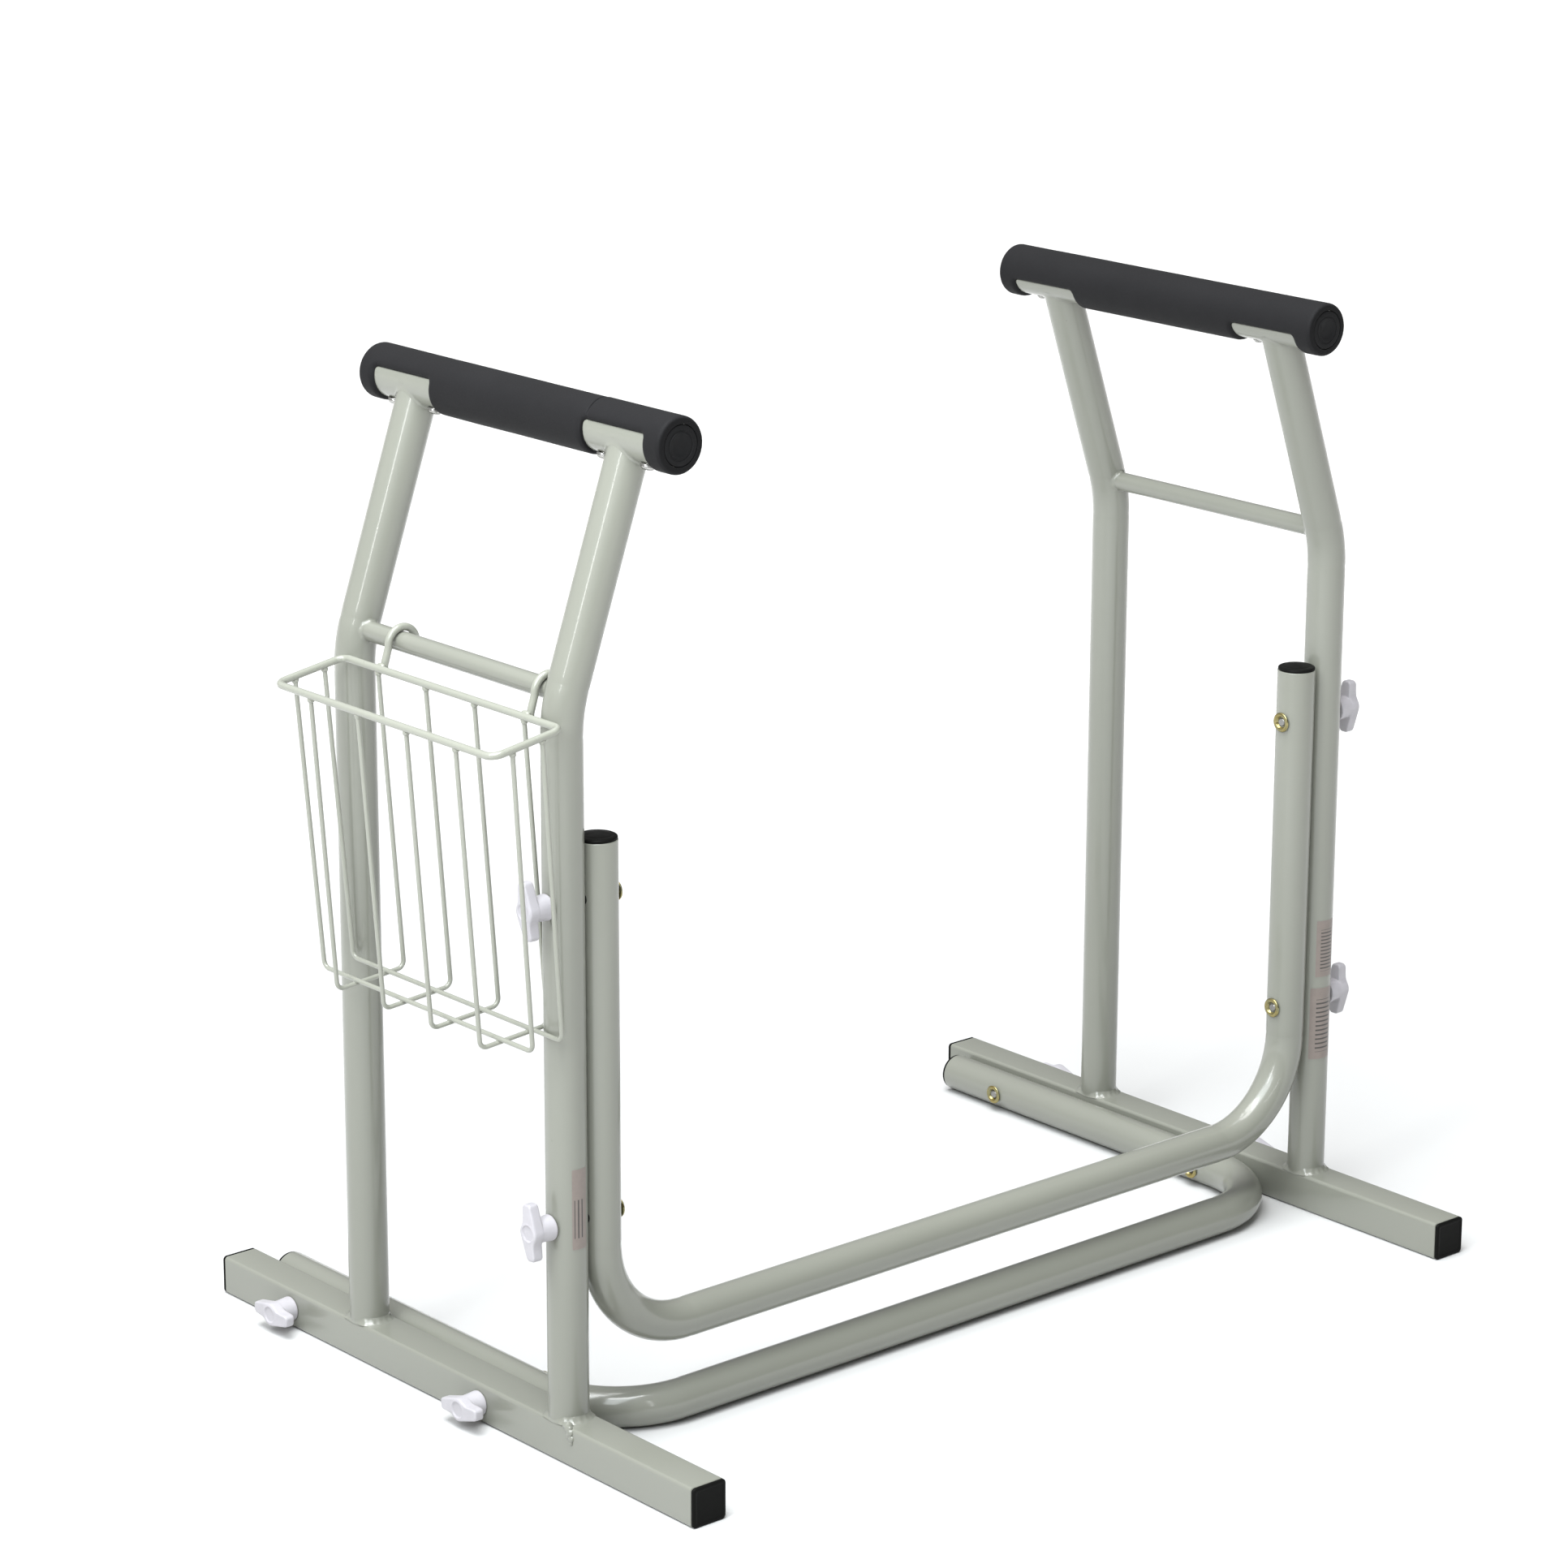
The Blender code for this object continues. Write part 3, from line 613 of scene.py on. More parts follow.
def build_saddle_weld(side, end, arm, lean):
    rings = cope_rings(arm, -lean, Y_AXIS, TUBE_R, SADDLE_R, 1.5 * MM)
    piece(f"weld_saddle_{side}_{end}", bead(*rings, beats=13), "paint", sharp=60)


def build_base_weld(side, end, y, sides=96):
    """The bead round an upright's base: wide along the foot, thin where foot and tube are equally wide."""
    top, x = foot_top(), foot_x(side)
    on_tube, corner, on_foot = [], [], []
    for i in range(sides):
        a = TURN * i / sides
        away = Vector((math.cos(a), math.sin(a), 0))
        room = TUBE_R * (1 / max(abs(math.cos(a)), 0.2) - 1) + 0.25 * MM
        size = min(3.4 * MM, room) * (1 + 0.10 * noise.noise(away * 2.3 + Vector((x, y, 0)) * 9))
        rise = 1.2 * MM + 0.75 * size
        sink = 1.3 * MM * abs(math.cos(a)) ** 6
        base = Vector((x, y, top))
        on_tube.append(base + away * (TUBE_R + 0.04 * MM) + Z_AXIS * rise)
        corner.append(base + away * (TUBE_R - 0.6 * MM) - Z_AXIS * (0.3 * MM))
        on_foot.append(base + away * (TUBE_R + size) - Z_AXIS * sink)
    piece(f"weld_base_{side}_{end}", bead(on_tube, corner, on_foot, 0.32, 0.10, 19), "paint", sharp=60)


def build_rail(side):
    """The thin rail between the uprights and the bead at each of its ends."""
    centre = span(f"rail_{side}")[2]
    ends = [span(f"upright_{side}_{end}")[2].y for end, _ in ENDS]
    reach = TUBE_R - 1.2 * MM
    points = [Vector((centre.x, y, centre.z)) for y in (max(ends) - reach, min(ends) + reach)]
    piece(f"look_rail_{side}", sweep(points, Z_AXIS, RAIL_R, 40), "paint", replaces=[f"rail_{side}"])
    up = rail_upright_direction(side, centre.z)
    for (end, way), y in zip(ENDS, ends):
        origin = Vector((centre.x, y, centre.z))
        rings = cope_rings(origin, Y_AXIS * -way, up, RAIL_R, TUBE_R, 1.7 * MM)
        piece(f"weld_rail_{side}_{end}", bead(*rings, beats=9), "paint", sharp=60)


def rail_upright_direction(side, z):
    """Direction of the upright's axis where the rail meets it."""
    points, _ = upright_points(side, 0)
    for a, b in zip(points, points[1:]):
        if a.z <= z <= b.z:
            return (b - a).normalized()
    return lean_vector(side)


def build_weld_drip():
    """A run of weld and paint down the outside of the left foot, under the front upright."""
    y = span("upright_left_front")[2].y
    x = span("foot_left")[0].x
    top = foot_top()
    spots = [((2.2, -12.0, 0.2), (3.2, 3.8, 1.9)), ((0.6, -14.8, -0.6), (2.5, 3.4, 2.2)),
             ((0.0, -16.6, -2.6), (1.7, 2.9, 2.4)), ((0.0, -15.4, -5.0), (1.5, 2.0, 2.1)),
             ((0.0, -18.2, -6.4), (1.5, 2.1, 2.1)), ((0.0, -18.0, -9.3), (1.3, 1.5, 1.5))]
    shapes = [lump(Vector((x + p[0] * MM, y + p[1] * MM, top + p[2] * MM)), size, k)
              for k, (p, size) in enumerate(spots)]
    mesh = remeshed("weld_drip", merged(*shapes), 0.3 * MM, 4)
    mesh.shade_smooth()
    place("weld_drip", mesh, "paint")


# -------- armrests

def box_distance(s, y, half_s, half_y, corner):
    """Signed distance to a rounded rectangle, below 0 inside it."""
    a, b = abs(s) - (half_s - corner), abs(y) - (half_y - corner)
    return math.hypot(max(a, 0), max(b, 0)) + min(max(a, b), 0) - corner


def edge_steps(half, inner):
    """Stations from -half to half, closer together near the edges."""
    near = [0, 0.12, 0.3, 0.6, 1.1, 1.8, 2.8, 4.0]
    side = [half - d * MM for d in near]
    middle = [side[-1] * (1 - 2 * i / inner) for i in range(1, inner)]
    return side + middle + [-s for s in reversed(side)]


def build_saddle(side, end):
    """The half-pipe plate under an armrest, with rounded corners and eased edges."""
    name = f"saddle_{side}_{end}"
    low, high, centre = span(name)
    axis = Vector((arm_axis(side).x, centre.y, arm_axis(side).z))
    down = -lean_vector(side)
    across = down.cross(Y_AXIS).normalized()
    half_y = (high.y - low.y) / 2
    half_s = SADDLE_R * SADDLE_ANGLE
    ease = 0.8 * MM
    grid = []
    for y in edge_steps(half_y, 16):
        over = max(0.0, abs(y) - (half_y - SADDLE_CORNER))
        limit = half_s - SADDLE_CORNER + math.sqrt(max(SADDLE_CORNER ** 2 - over ** 2, 0))
        row = []
        for s in edge_steps(limit, 26):
            a = s / SADDLE_R
            way = down * math.cos(a) + across * math.sin(a)
            gap = max(0.0, -box_distance(s, y, half_s, half_y, SADDLE_CORNER))
            drop = ease - math.sqrt(max(ease ** 2 - max(ease - gap, 0) ** 2, 0))
            radii = (SADDLE_R - min(drop, 0.7 * MM), SADDLE_R - SADDLE_T)
            row.append([axis + way * r + Y_AXIS * y for r in radii])
        grid.append(row)
    piece(f"look_{name}", shell(grid), "paint", replaces=[name], sharp=60)


def shell(grid):
    """A closed plate from a grid of (outer, inner) pairs of points."""
    rows, cols = len(grid), len(grid[0])
    verts = [pair[face] for face in (0, 1) for row in grid for pair in row]
    back = rows * cols
    faces = []
    for i in range(rows - 1):
        for j in range(cols - 1):
            a = i * cols + j
            quad = (a, a + 1, a + cols + 1, a + cols)
            faces += [quad, tuple(back + k for k in reversed(quad))]
    rim = list(range(cols)) + [i * cols + cols - 1 for i in range(1, rows)]
    rim += [(rows - 1) * cols + j for j in range(cols - 2, -1, -1)]
    rim += [i * cols for i in range(rows - 2, 0, -1)]
    for a, b in zip(rim, rim[1:] + rim[:1]):
        faces.append((a, b, back + b, back + a))
    return verts, faces


def foam_radius(radius, s_of, y, saddles, side_seed, angle):
    """Radius of the sleeve's skin: soft unevenness, and the places where it gives way to the saddles."""
    where = Vector((math.cos(angle) * 0.5, y * 14, math.sin(angle) * 0.5))
    r = radius - 0.12 * MM + 0.16 * MM * noise.noise(where + Vector((side_seed, 0, 0)))
    r += 0.05 * MM * noise.noise(where * 6)
    for saddle_y, half_y in saddles:
        gap = box_distance(s_of, y - saddle_y, SADDLE_R * SADDLE_ANGLE + 0.15 * MM, half_y + 0.15 * MM,
                           SADDLE_CORNER + 0.15 * MM)
        if gap < 0:
            blend = max(0.0, 1 + gap / (1.3 * MM))
            return BORE_R + 0.15 * MM + (SADDLE_R - 0.25 * MM - BORE_R) * blend
        if gap < 3.2 * MM:
            u = 1 - gap / (3.2 * MM)
            r = SADDLE_R + (r - SADDLE_R) * math.sqrt(max(1 - u * u, 0.0))
    return r


def build_foam(side, sign, sides=132):
    """The foam sleeve: rounded ends, shoulders sinking to the saddles and a fine crease on the left one."""
    low, high, centre = span(f"arm_foam_{side}")
    radius = (high.x - low.x) / 2
    axis = arm_axis(side)
    lean = lean_vector(side)
    down_angle = math.atan2(-lean.z, -lean.x)
    plates = [span(f"saddle_{side}_{end}") for end, _ in ENDS]
    saddles = [(middle.y, (back.y - fore.y) / 2) for fore, back, middle in plates]
    soft = 2.8 * MM
    eased = [(soft * (1 - math.cos(math.pi / 2 * k / 7)), soft * (1 - math.sin(math.pi / 2 * k / 7)))
             for k in range(8)]
    steps = int((high.y - low.y - 2 * soft) / (1.15 * MM))
    stack = [(low.y, BORE_R, True), (low.y, BORE_R + 0.4 * MM, True)]
    stack += [(low.y + along, inset, False) for along, inset in eased]
    middle = [low.y + soft + (high.y - low.y - 2 * soft) * k / steps for k in range(1, steps)]
    if sign < 0:
        middle += [centre.y + CREASE_Y + 0.31 * MM * k for k in range(-9, 10)]
    stack += [(y, 0.0, False) for y in sorted(middle)]
    stack += [(high.y - along, inset, False) for along, inset in reversed(eased)]
    stack += [(high.y, BORE_R + 0.4 * MM, True), (high.y, BORE_R, True)]
    rings = []
    for y, amount, plain in stack:
        ring = []
        for i in range(sides):
            a = TURN * i / sides
            if plain:
                r = amount
            else:
                off = (a - down_angle + math.pi) % TURN - math.pi
                r = foam_radius(radius, SADDLE_R * off, y, saddles, 7.3 * (sign + 2), a) - amount
                if sign < 0:
                    r -= crease_depth(y - centre.y, a)
            ring.append(Vector((axis.x + r * math.cos(a), y, axis.z + r * math.sin(a))))
        rings.append(ring)
    foam = piece(f"look_foam_{side}", skin(rings, True), "foam", replaces=[f"arm_foam_{side}"], sharp=70)


def crease_depth(y, angle):
    """How far the left sleeve is drawn in: a fine crease over its top, fuller in front of it."""
    over = (angle - math.radians(112)) / math.radians(38)
    line = CREASE_Y - 0.0016 * over
    across = (y - line) / (0.65 * MM)
    fuller = 0.4 * MM * max(0.0, min(1.0, (line - y) / (2.0 * MM))) * math.exp(-over * over * 0.4)
    return 1.5 * MM * math.exp(-over * over * 0.6) * math.exp(-across * across) - fuller


def build_arm_plug(side, end, way):
    """The moulded plug in the end of the armrest's tube, with a raised ring and a shallow dish."""
    name = f"arm_plug_{side}_{end}"
    low, high, centre = span(name)
    radius = (high.x - low.x) / 2 + 0.2 * MM
    face = high.y if way > 0 else low.y
    profile = [(-13, 9.8), (-2.0, 10.9), (-2.0, 11.2), (-1.95, radius / MM - 0.3), (-1.7, radius / MM),
               (-0.7, radius / MM), (-0.3, radius / MM - 0.25), (-0.15, radius / MM - 0.8), (-0.15, 9.4),
               (-0.5, 9.0), (-0.5, 8.3), (-0.12, 7.9), (-0.12, 6.4), (-0.35, 6.0), (-0.45, 3.0),
               (-0.45, 0.4)]
    shape = moved(lathe(in_mm(profile), 64), facing((centre.x, face, centre.z), (0, way, 0)))
    piece(f"look_{name}", shape, "cap", replaces=[name], sharp=35)


def screw_mesh():
    """A pan-head screw with a cross recess, head upwards along +X from its seat at 0."""
    head = [(-5.2, 1.6), (-4.8, 2.0), (0.0, 2.0), (0.0, 4.5), (0.2, 4.7), (0.75, 4.7), (0.95, 4.5),
            (0.95, 4.15), (1.15, 4.2), (1.8, 4.15), (2.4, 3.85), (2.9, 3.2), (3.2, 2.4), (3.35, 1.4),
            (3.4, 0.5)]
    obj = linked("screw_parts", mesh_from("screw", lathe(in_mm(head), 40)))
    cuts = []
    for turn in (0, math.pi / 2):
        rings = []
        for x, half, wide in ((1.6, 0.9, 0.30), (4.0, 2.3, 0.55)):
            corners = [(half, wide), (-half, wide), (-half, -wide), (half, -wide)]
            spin = Matrix.Rotation(turn, 3, "X")
            rings.append([spin @ Vector((x * MM, u * MM, v * MM)) for u, v in corners])
        cuts.append(linked("screw_cut", mesh_from("screw_cut", skin(rings))))
        mod = obj.modifiers.new("cross", "BOOLEAN")
        mod.object = cuts[-1]
        mod.operation = "DIFFERENCE"
        mod.solver = "EXACT"
    result = applied(obj, *cuts)
    result.shade_smooth()
    result.set_sharp_from_angle(angle=math.radians(35))
    return result


def build_screws(side, end, template):
    lean = lean_vector(side)
    y = span(f"saddle_{side}_{end}")[2].y
    for name, offset in (("back", SCREW_OFFSET), ("fore", -SCREW_OFFSET)):
        seat = Vector((arm_axis(side).x, y + offset, arm_axis(side).z)) - lean * (SADDLE_R + 0.1 * MM)
        mesh = template.copy()
        mesh.transform(facing(seat, -lean) @ Matrix.Rotation(0.6 * offset / MM, 4, "X"))
        node_name = f"screw_{side}_{end}_{name}"
        place(f"look_{node_name}", mesh, "steel", replaces=[node_name])


# -------- U-tubes, plugs and clamps

def build_u(name, corners, bend, normal):
    points, marks = rounded(corners, bend, 26, APPROACH)
    shape = sweep(points, normal, die_marked(points, marks), tip=0.55 * MM)
    piece(f"look_{name}", shape, "paint", replaces=[name])


def build_upper_u():
    low, high, centre = span("upper_u")
    left, right, y, z, top = low.x + TUBE_R, high.x - TUBE_R, centre.y, low.z + TUBE_R, high.z
    build_u("upper_u", [(left, y, top), (left, y, z), (right, y, z), (right, y, top)], UPPER_BEND, Y_AXIS)


def build_lower_u():
    low, high, centre = span("lower_u")
    left, right, y, z, back = low.x + TUBE_R, high.x - TUBE_R, low.y + TUBE_R, centre.z, high.y
    build_u("lower_u", [(left, back, z), (left, y, z), (right, y, z), (right, back, z)], LOWER_BEND, Z_AXIS)


def build_u_plug(name, way):
    """A capped plug: a rounded flange with a slight dome and a faint moulded ring."""
    _, high, centre = span(name)
    way = Vector(way)
    face = Vector((centre.x, centre.y, high.z)) if way.z else Vector((centre.x, high.y, centre.z))
    profile = [(-13.8, 10.2), (-3.2, 11.0), (-2.95, 12.0), (-2.75, 12.3), (-1.75, 12.35), (-1.25, 12.15),
               (-0.95, 11.7), (-0.65, 10.8), (-0.5, 9.6), (-0.57, 9.2), (-0.4, 8.8), (-0.16, 6.0),
               (-0.03, 3.0), (0.0, 0.5)]
    shape = moved(lathe(in_mm(profile), 64), facing(face, way))
    piece(f"look_{name}", shape, "black", replaces=[name], sharp=40)


def wing_outline():
    """The wing's outline. Each lobe runs straight off the hub on one side and steps in on the other."""
    stepped, straight, corner = 4.2 * MM, 3.4 * MM, 2.4 * MM
    reach = WING_HALF - corner
    slope = math.asin((BOSS_R - straight) / reach)

    def bend(u, v, radius, low, high, steps):
        angles = [low + (high - low) * i / steps for i in range(steps + 1)]
        return [(u + radius * math.cos(a), v + radius * math.sin(a)) for a in angles]

    half = bend(reach, stepped - corner, corner, 0, math.pi / 2, 6)
    half += [(u * MM, v * MM) for u, v in ((13.0, 4.2), (10.5, 4.2), (8.4, 4.35), (7.0, 4.8), (6.0, 5.4))]
    half += bend(0, 0, BOSS_R, math.radians(52), math.pi / 2 + slope, 10)
    half += bend(-reach, straight - corner, corner, math.pi / 2 + slope, math.pi, 6)
    return half + [(-u, -v) for u, v in half]


def knob_mesh():
    """A moulded wing knob along +X from its seat at 0, fused and softened like a moulding."""
    outline = wing_outline()
    rings = []
    layers = ((0.0, 1.0), (0.3, 0.4), (0.9, 0.0), (4.0, 0.0), (6.6, 0.1), (7.1, 0.45), (7.5, 1.15))
    for depth, inset in layers:
        ring = []
        for u, v in outline:
            scale = 1 - inset * MM / max(math.hypot(u, v), 1 * MM)
            slope = 0.7 * MM * (u / WING_HALF) ** 2 * (depth / 7.5)
            ring.append(Vector((NECK + depth * MM - slope, u * scale, v * scale)))
        rings.append(ring)
    neck = lathe([(0.1 * MM, NECK_R - 0.5 * MM), (0.5 * MM, NECK_R), (1.2 * MM, NECK_R),
                  (NECK * 0.7, NECK_R - 0.5 * MM), (NECK + 2 * MM, NECK_R - 0.8 * MM)], 64)
    mesh = remeshed("knob", merged(skin(rings), neck), 0.42 * MM, 4)
    face = NECK + WING_T
    for vertex in mesh.vertices:
        r = math.hypot(vertex.co.y, vertex.co.z)
        if vertex.co.x > face - 1.2 * MM:
            step = max(0.0, min(1.0, (5.2 * MM - r) / (0.6 * MM)))
            ring = math.exp(-((r - 5.5 * MM) / (0.55 * MM)) ** 2)
            vertex.co.x -= 0.75 * MM * step * step * (3 - 2 * step) - 0.2 * MM * ring
    mesh.shade_smooth()
    return mesh


def bolt_shape(length):
    """The bolt moulded into a knob, with thread ridges on its far half and a chamfered end."""
    profile = [(-length, 2.3 * MM), (-length + 0.5 * MM, 2.9 * MM)]
    x = -length + 0.9 * MM
    while x < -length * 0.55:
        profile += [(x, 3.05 * MM), (x + 0.5 * MM, 2.55 * MM)]
        x += 1.0 * MM
    return lathe(profile + [(x + 0.5 * MM, 3.0 * MM), (1.0 * MM, 3.0 * MM)], 32)


def nut_shape():
    """A flanged insert nut along +X: a rounded flange, a barrel and a ridged bore with a funnel."""
    outer = [(-8.5, 3.35), (-8.5, 4.5), (-8.2, 4.6), (0.1, 4.6), (0.15, 6.1), (0.4, 6.5), (0.8, 6.6),
             (1.2, 6.4), (1.5, 5.9), (1.65, 5.2), (1.6, 4.6), (1.35, 4.1), (0.95, 3.8)]
    bore = []
    x = 0.7
    while x > -8.0:
        bore += [(x, 3.65), (x - 0.4, 3.3)]
        x -= 0.8
    return lathe(in_mm(outer + bore), 64, closed=True)


def build_clamps():
    template = knob_mesh()
    nut = nut_shape()
    for side, sign in SIDES:
        outwards = Matrix.Rotation(0 if sign > 0 else math.pi, 4, "Z")
        for spot, angle in WING_TURNS[side].items():
            body = f"knob_{side}_{spot}"
            seat = Vector(JOINTS[body]["pos_m"])
            mesh = template.copy()
            spin = Matrix.Rotation(math.radians(angle), 4, "X")
            mesh.transform(Matrix.Translation(seat) @ outwards @ spin)
            place(f"look_{body}", mesh, "white", body, [body])
            nut_low, nut_high, nut_centre = span(f"nut_{side}_{spot}")
            flange = nut_low.x if sign > 0 else nut_high.x
            wall = Vector((flange + sign * 1.6 * MM, nut_centre.y, nut_centre.z))
            length = abs(wall.x - seat.x) + 0.5 * MM
            bolt = moved(bolt_shape(length), facing(seat, (sign, 0, 0)))
            piece(f"bolt_{side}_{spot}", bolt, "core", body)
            shape = moved(nut, facing(wall, (-sign, 0, 0)))
            piece(f"look_nut_{side}_{spot}", shape, "zinc", replaces=[f"nut_{side}_{spot}"], sharp=50)
            if spot in ("upper", "middle"):
                build_shim(side, spot, Vector((foot_x(side) - sign * (TUBE_R + 0.15 * MM), seat.y, seat.z)))


def build_shim(side, spot, centre, radius=4.6 * MM, steps=10, sides=40):
    """A thin black washer that fills the groove between an upright and a leg of the upper U."""
    grid = []
    for k in range(steps + 1):
        r = radius * (0.35 + 0.65 * k / steps)
        row = []
        for i in range(sides + 1):
            a = TURN * i / sides
            y, z = r * math.cos(a), r * math.sin(a)
            half = 0.08 * MM + TUBE_R - math.sqrt(TUBE_R ** 2 - y ** 2)
            row.append([centre + Vector((x, y, z)) for x in (half, -half)])
        grid.append(row)
    piece(f"shim_{side}_{spot}", shell(grid), "black", sharp=40)


def build_stickers():
    """Plain stickers on the front uprights."""
    stickers = (("sticker_left", "left", 0.137, 0.188, -88.5, 25),
                ("sticker_right_high", "right", 0.168, 0.208, -95, 33),
                ("sticker_right_low", "right", 0.109, 0.160, -101, 40))
    for name, side, low_z, high_z, facing_deg, half_deg in stickers:
        centre = span(f"upright_{side}_front")[2]
        x = foot_x(side)
        grid = []
        half_z, middle, corner = (high_z - low_z) / 2, (high_z + low_z) / 2, 0.6 * MM
        half_s = TUBE_R * math.radians(half_deg)
        for z in edge_steps(half_z, 12):
            over = max(0.0, abs(z) - (half_z - corner))
            limit = half_s - corner + math.sqrt(max(corner ** 2 - over ** 2, 0))
            row = []
            for k in range(25):
                a = math.radians(facing_deg) + limit * (2 * k / 24 - 1) / TUBE_R
                row.append([Vector((x + r * math.cos(a), centre.y + r * math.sin(a), middle + z))
                            for r in (TUBE_R + 0.12 * MM, TUBE_R + 0.02 * MM)])
            grid.append(row)
        piece(name, shell(grid), f"label_{side}", sharp=50)


# -------- basket

def basket_point(x, y, z):
    turned = Matrix.Rotation(-BASKET_TILT, 3, "Y") @ Vector((x, 0, z))
    return Vector(JOINTS["basket"]["pos_m"]) + Vector((turned.x, y, turned.z))


def basket_way(x, y, z):
    return (basket_point(x, y, z) - basket_point(0, 0, 0)).normalized()


def rim_z(x):
    return RIM_IN_Z + (RIM_OUT_Z - RIM_IN_Z) * (x - INNER_X) / (OUTER_X - INNER_X)


def build_rim():
    corners = [(INNER_X, -RIM_HALF), (OUTER_X, -RIM_HALF), (OUTER_X, RIM_HALF), (INNER_X, RIM_HALF)]
    points = [Vector((x, y, rim_z(x))) for x, y in corners]
    middle = (points[0] + points[3]) / 2
    path, _ = rounded([middle, *points, middle], RIM_CORNER, 9)
    path = [basket_point(*p) for p in path[:-1]]
    normal = (path[10] - path[0]).cross(path[30] - path[0]).normalized()
    shape = merged(sweep(path, normal, RIM_R, 24, closed=True),
                   lump(path[0], (2.0, 2.6, 2.0), 5))
    piece("look_basket_rim", shape, "basket", "basket", ["basket_rim"], sharp=60)


def build_cage():
    """The thin wires, butted up against the rim, with a blob of weld at each joint and crossing."""
    drop = 0.6 * MM
    lift = 2 * WIRE_R - 0.4 * MM
    shapes = []
    seed = 0
    for y in CROSS_Y:
        points = [(INNER_X, y, rim_z(INNER_X) - drop), (INNER_X, y, FLOOR_Z), (OUTER_X, y, FLOOR_Z),
                  (OUTER_X, y, rim_z(OUTER_X) - drop)]
        path = [basket_point(*p) for p in rounded(points, 5 * MM, 8)[0]]
        shapes.append(sweep(path, Y_AXIS, WIRE_R, 16))
        for x in (INNER_X, OUTER_X):
            seed += 1
            shapes.append(lump(basket_point(x, y, rim_z(x) - RIM_R - 0.3 * MM), (2.1, 2.3, 2.4), seed))
        for x in LONG_X:
            seed += 1
            shapes.append(lump(basket_point(x, y, FLOOR_Z + WIRE_R), (1.7, 1.7, 1.5), seed))
    for x in LONG_X:
        top = rim_z(x) - drop
        points = [(x, -RIM_HALF, top), (x, -FLOOR_HALF, FLOOR_Z + lift), (x, FLOOR_HALF, FLOOR_Z + lift),
                  (x, RIM_HALF, top)]
        path = [basket_point(*p) for p in rounded(points, 5 * MM, 8)[0]]
        shapes.append(sweep(path, basket_way(1, 0, 0), WIRE_R, 16))
        for y in (-RIM_HALF, RIM_HALF):
            seed += 1
            shapes.append(lump(basket_point(x, y, rim_z(x) - RIM_R - 0.3 * MM), (2.2, 2.0, 2.4), seed))
    piece("look_basket_cage", merged(*shapes), "basket", "basket", ["basket_cage"], sharp=60)


def build_hooks():
    leg_x = INNER_X + RIM_R + HOOK_R + 0.1 * MM
    top_z = RAIL_R + 0.3 * MM + HOOK_R
    for name, y in (("front", CROSS_Y[0]), ("rear", CROSS_Y[-1])):
        centre = Vector((0, y, top_z - HOOK_BEND))
        over = [centre + Vector((-math.cos(a), 0, math.sin(a))) * HOOK_BEND
                for a in (math.pi * i / 28 for i in range(29))]
        tail = over[-1] - Vector((0, 0, 5 * MM))
        leg = [Vector((leg_x, y, RIM_IN_Z - 2.4 * MM)), Vector((leg_x, y, RIM_IN_Z + 0.5 * MM))]
        bend = [leg[-1].lerp(over[0], t) for t in (0.25, 0.5, 0.75)]
        path = [basket_point(*p) for p in [*leg, *bend, *over, tail]]
        side = -1 if name == "front" else 1
        joint = basket_point(leg_x - HOOK_R - 0.6 * MM, y - side * 0.6 * MM, RIM_IN_Z + 1.2 * MM)
        shape = merged(sweep(path, Y_AXIS, HOOK_R, 24, tip=0.8 * MM),
                       lump(joint, (1.9, 3.6, 1.9), 20 if name == "front" else 31))
        piece(f"look_hook_{name}", shape, "basket", "basket", [f"basket_hook_{name}"], sharp=60)


# -------- stage

def build_camera():
    yaw, pitch, roll = (math.radians(a) for a in (-40.93, -16.28, 0.15))
    ahead = Vector((-math.sin(yaw) * math.cos(pitch), math.cos(yaw) * math.cos(pitch), math.sin(pitch)))
    right = ahead.cross(Z_AXIS).normalized()
    up = right.cross(ahead)
    cos, sin = math.cos(roll), math.sin(roll)
    turn = Matrix((right * cos + up * sin, up * cos - right * sin, -ahead)).transposed().to_4x4()
    data = bpy.data.cameras.new("camera")
    data.sensor_width = 36
    data.lens = 111.59
    data.clip_end = 100
    camera = linked("camera", data)
    camera.matrix_world = Matrix.Translation((-1.9935, -2.2522, 1.2204)) @ turn
    bpy.context.scene.camera = camera


def aimed(place_at, target):
    aim = (Vector(target) - Vector(place_at)).to_track_quat("-Z", "Y").to_matrix().to_4x4()
    return Matrix.Translation(place_at) @ aim


def area_light(name, place_at, size, radiance, color=(1, 1, 1)):
    """A softbox that looks at the middle of the frame."""
    data = bpy.data.lights.new(name, "AREA")
    data.shape = "RECTANGLE"
    data.size, data.size_y = size
    data.energy = radiance * math.pi * size[0] * size[1]
    data.color = color
    linked(name, data).matrix_world = aimed(place_at, (0, 0, 0.32))


def soft_sun(name, place_at, strength, spread):
    data = bpy.data.lights.new(name, "SUN")
    data.energy = strength
    data.angle = math.radians(spread)
    linked(name, data).matrix_world = aimed(place_at, (0, 0, 0))


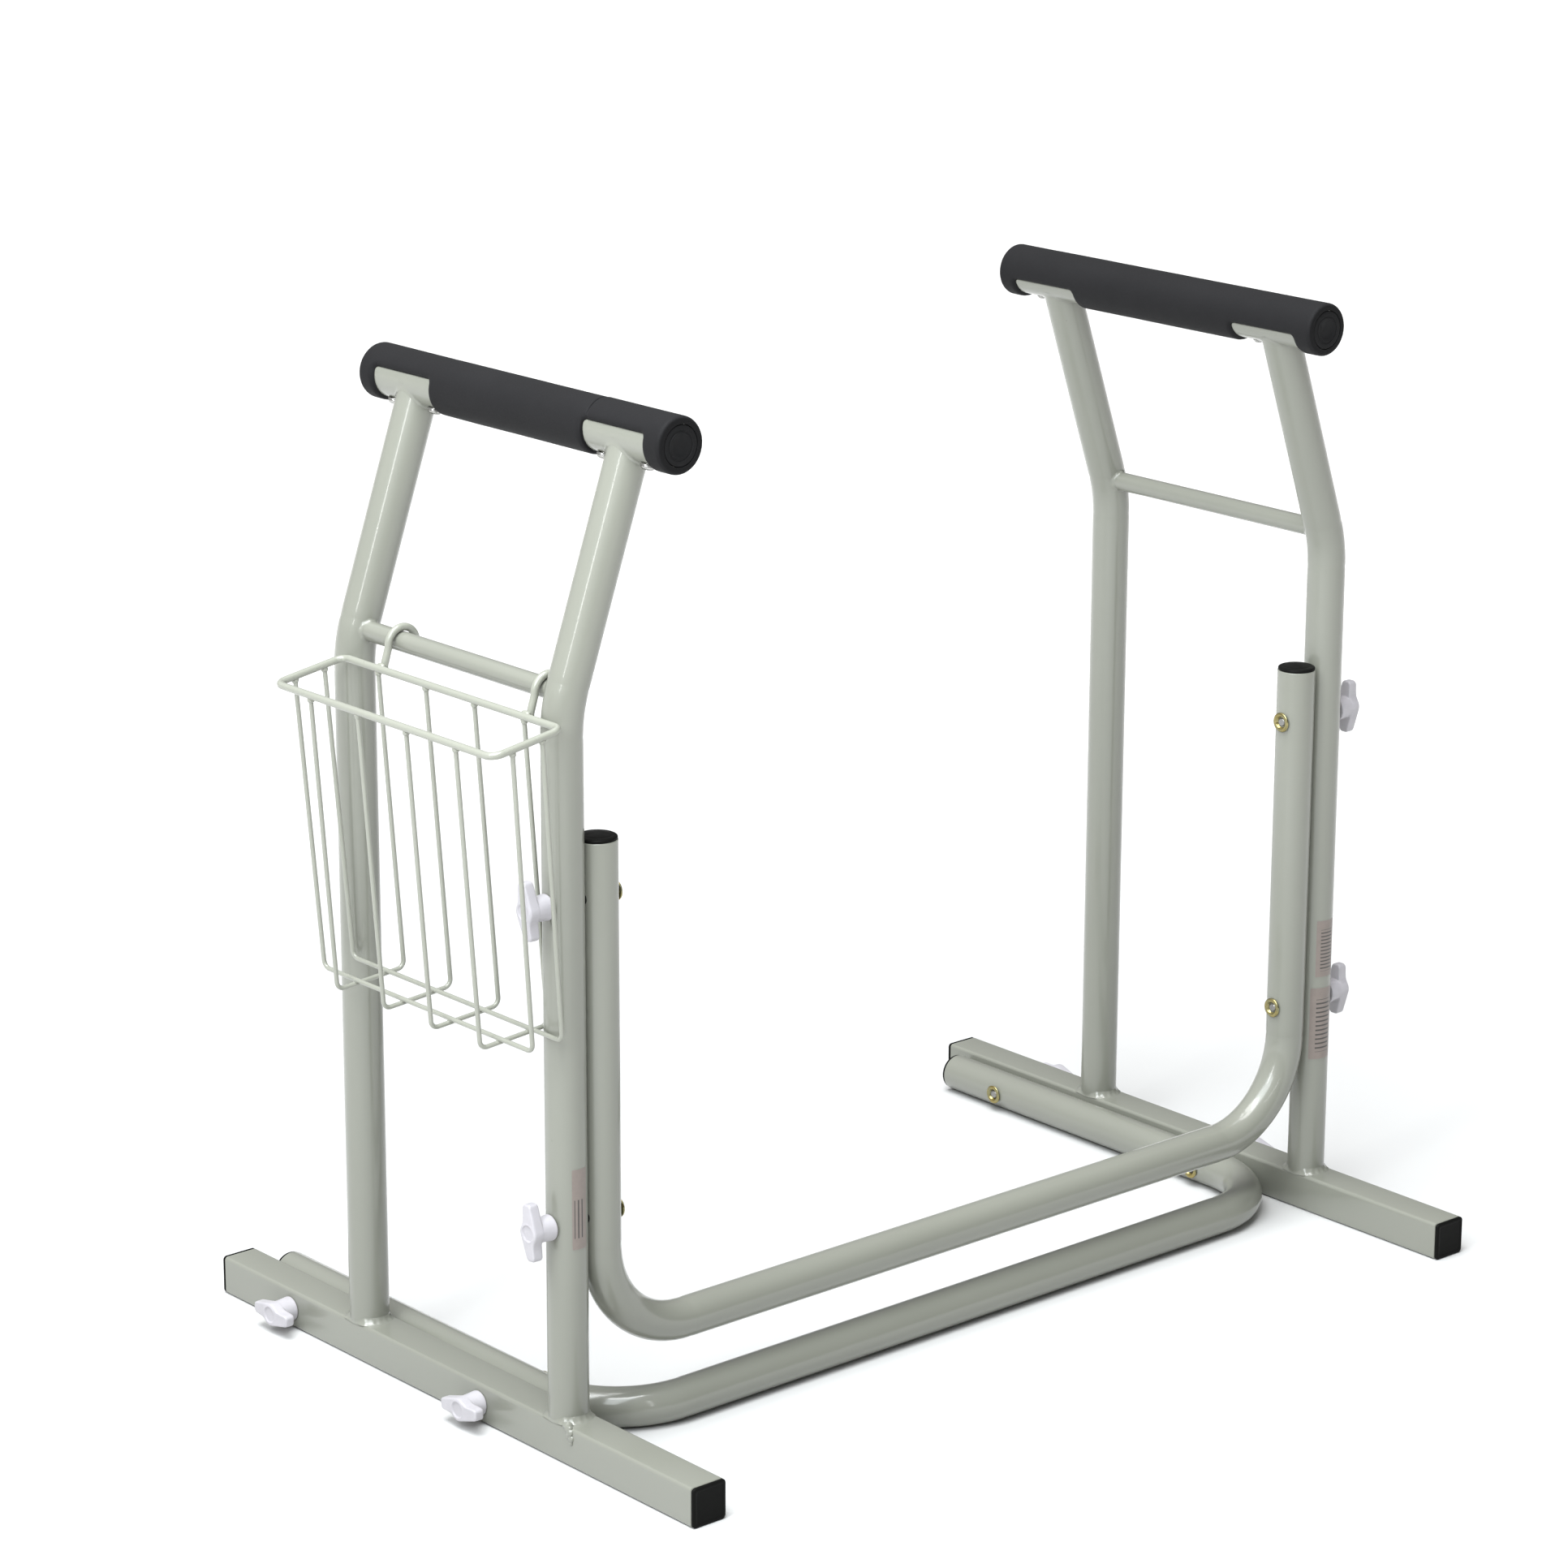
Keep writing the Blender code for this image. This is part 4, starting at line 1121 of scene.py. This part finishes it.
def build_world():
    """A studio that is brighter on the left and dark on the right, so tubes get darker edges."""
    world = bpy.data.worlds.new("studio")
    world.use_nodes = True
    tree = world.node_tree
    background = tree.nodes["Background"]
    background.inputs["Color"].default_value = (1, 1, 1, 1)
    dot = node(tree, "ShaderNodeVectorMath", -900, operation="DOT_PRODUCT")
    tree.links.new(node(tree, "ShaderNodeTexCoord", -1100).outputs["Generated"], dot.inputs[0])
    dot.inputs[1].default_value = (-0.68, 0.42, 0.60)
    level = mapped(tree, dot.outputs["Value"], -0.5, 0.85, 0.02, 0.62)
    tree.links.new(level, background.inputs["Strength"])
    bpy.context.scene.world = world


def build_stage():
    color = (0.905, 0.905, 0.90)
    mat, tree, shader = new_material("pale_floor", color, 0.7)
    coords = object_coords(tree)
    tone = mapped(tree, noise_fac(tree, coords, 1.2, 2.0), 0.3, 0.7, 0.0, 1.0)
    plain = mixed(tree, tone, shade(color, 0.99), shade(color, 1.01))
    away = node(tree, "ShaderNodeVectorMath", -900, operation="LENGTH")
    tree.links.new(coords, away.inputs[0])
    # Painted shade: the floor is darker near the middle, fading out by 1.8 m. This offsets the softboxes'
    # pool of light there and throws less light back onto the frame.
    near = mapped(tree, away.outputs["Value"], 0.5, 1.8, 1.0, 0.0)
    tree.links.new(mixed(tree, near, plain, shade(color, 0.62)), shader.inputs["Base Color"])
    reach = 40
    mesh = bpy.data.meshes.new("floor")
    corners = [(-reach, -reach, 0), (reach, -reach, 0), (reach, reach, 0), (-reach, reach, 0)]
    mesh.from_pydata(corners, [], [(0, 1, 2, 3)])
    mesh.materials.append(mat)
    floor = linked("floor", mesh)
    floor.location.z = -0.2 * MM
    build_world()
    soft_sun("sky", (-0.3, -0.05, 2.5), 2.8, 40)
    area_light("left_box", (-1.1, -0.5, 2.0), (1.5, 2.2), 6.6, (0.905, 0.965, 1.0))
    area_light("left_strip", (-2.75, -0.75, 1.9), (0.24, 1.5), 13.0)
    area_light("front_strip", (-0.6, -3.1, 1.7), (0.14, 2.0), 7)
    bpy.context.scene.view_settings.view_transform = "Standard"


def main():
    screw = screw_mesh()
    for side, sign in SIDES:
        build_foot(side)
        build_rail(side)
        build_foam(side, sign)
        for end, way in ENDS:
            build_foot_plug(side, end, way)
            build_upright(side, end)
            build_saddle(side, end)
            build_arm_plug(side, end, way)
            build_screws(side, end, screw)
        build_u_plug(f"upper_plug_{side}", (0, 0, 1))
        build_u_plug(f"lower_plug_{side}", (0, 1, 0))
        core = frame["nodes"][f"arm_core_{side}"]
        core.data.materials.clear()
        core.data.materials.append(MATERIALS["core"])
    build_weld_drip()
    build_upper_u()
    build_lower_u()
    build_clamps()
    build_stickers()
    build_rim()
    build_cage()
    build_hooks()
    build_camera()
    build_stage()


main()
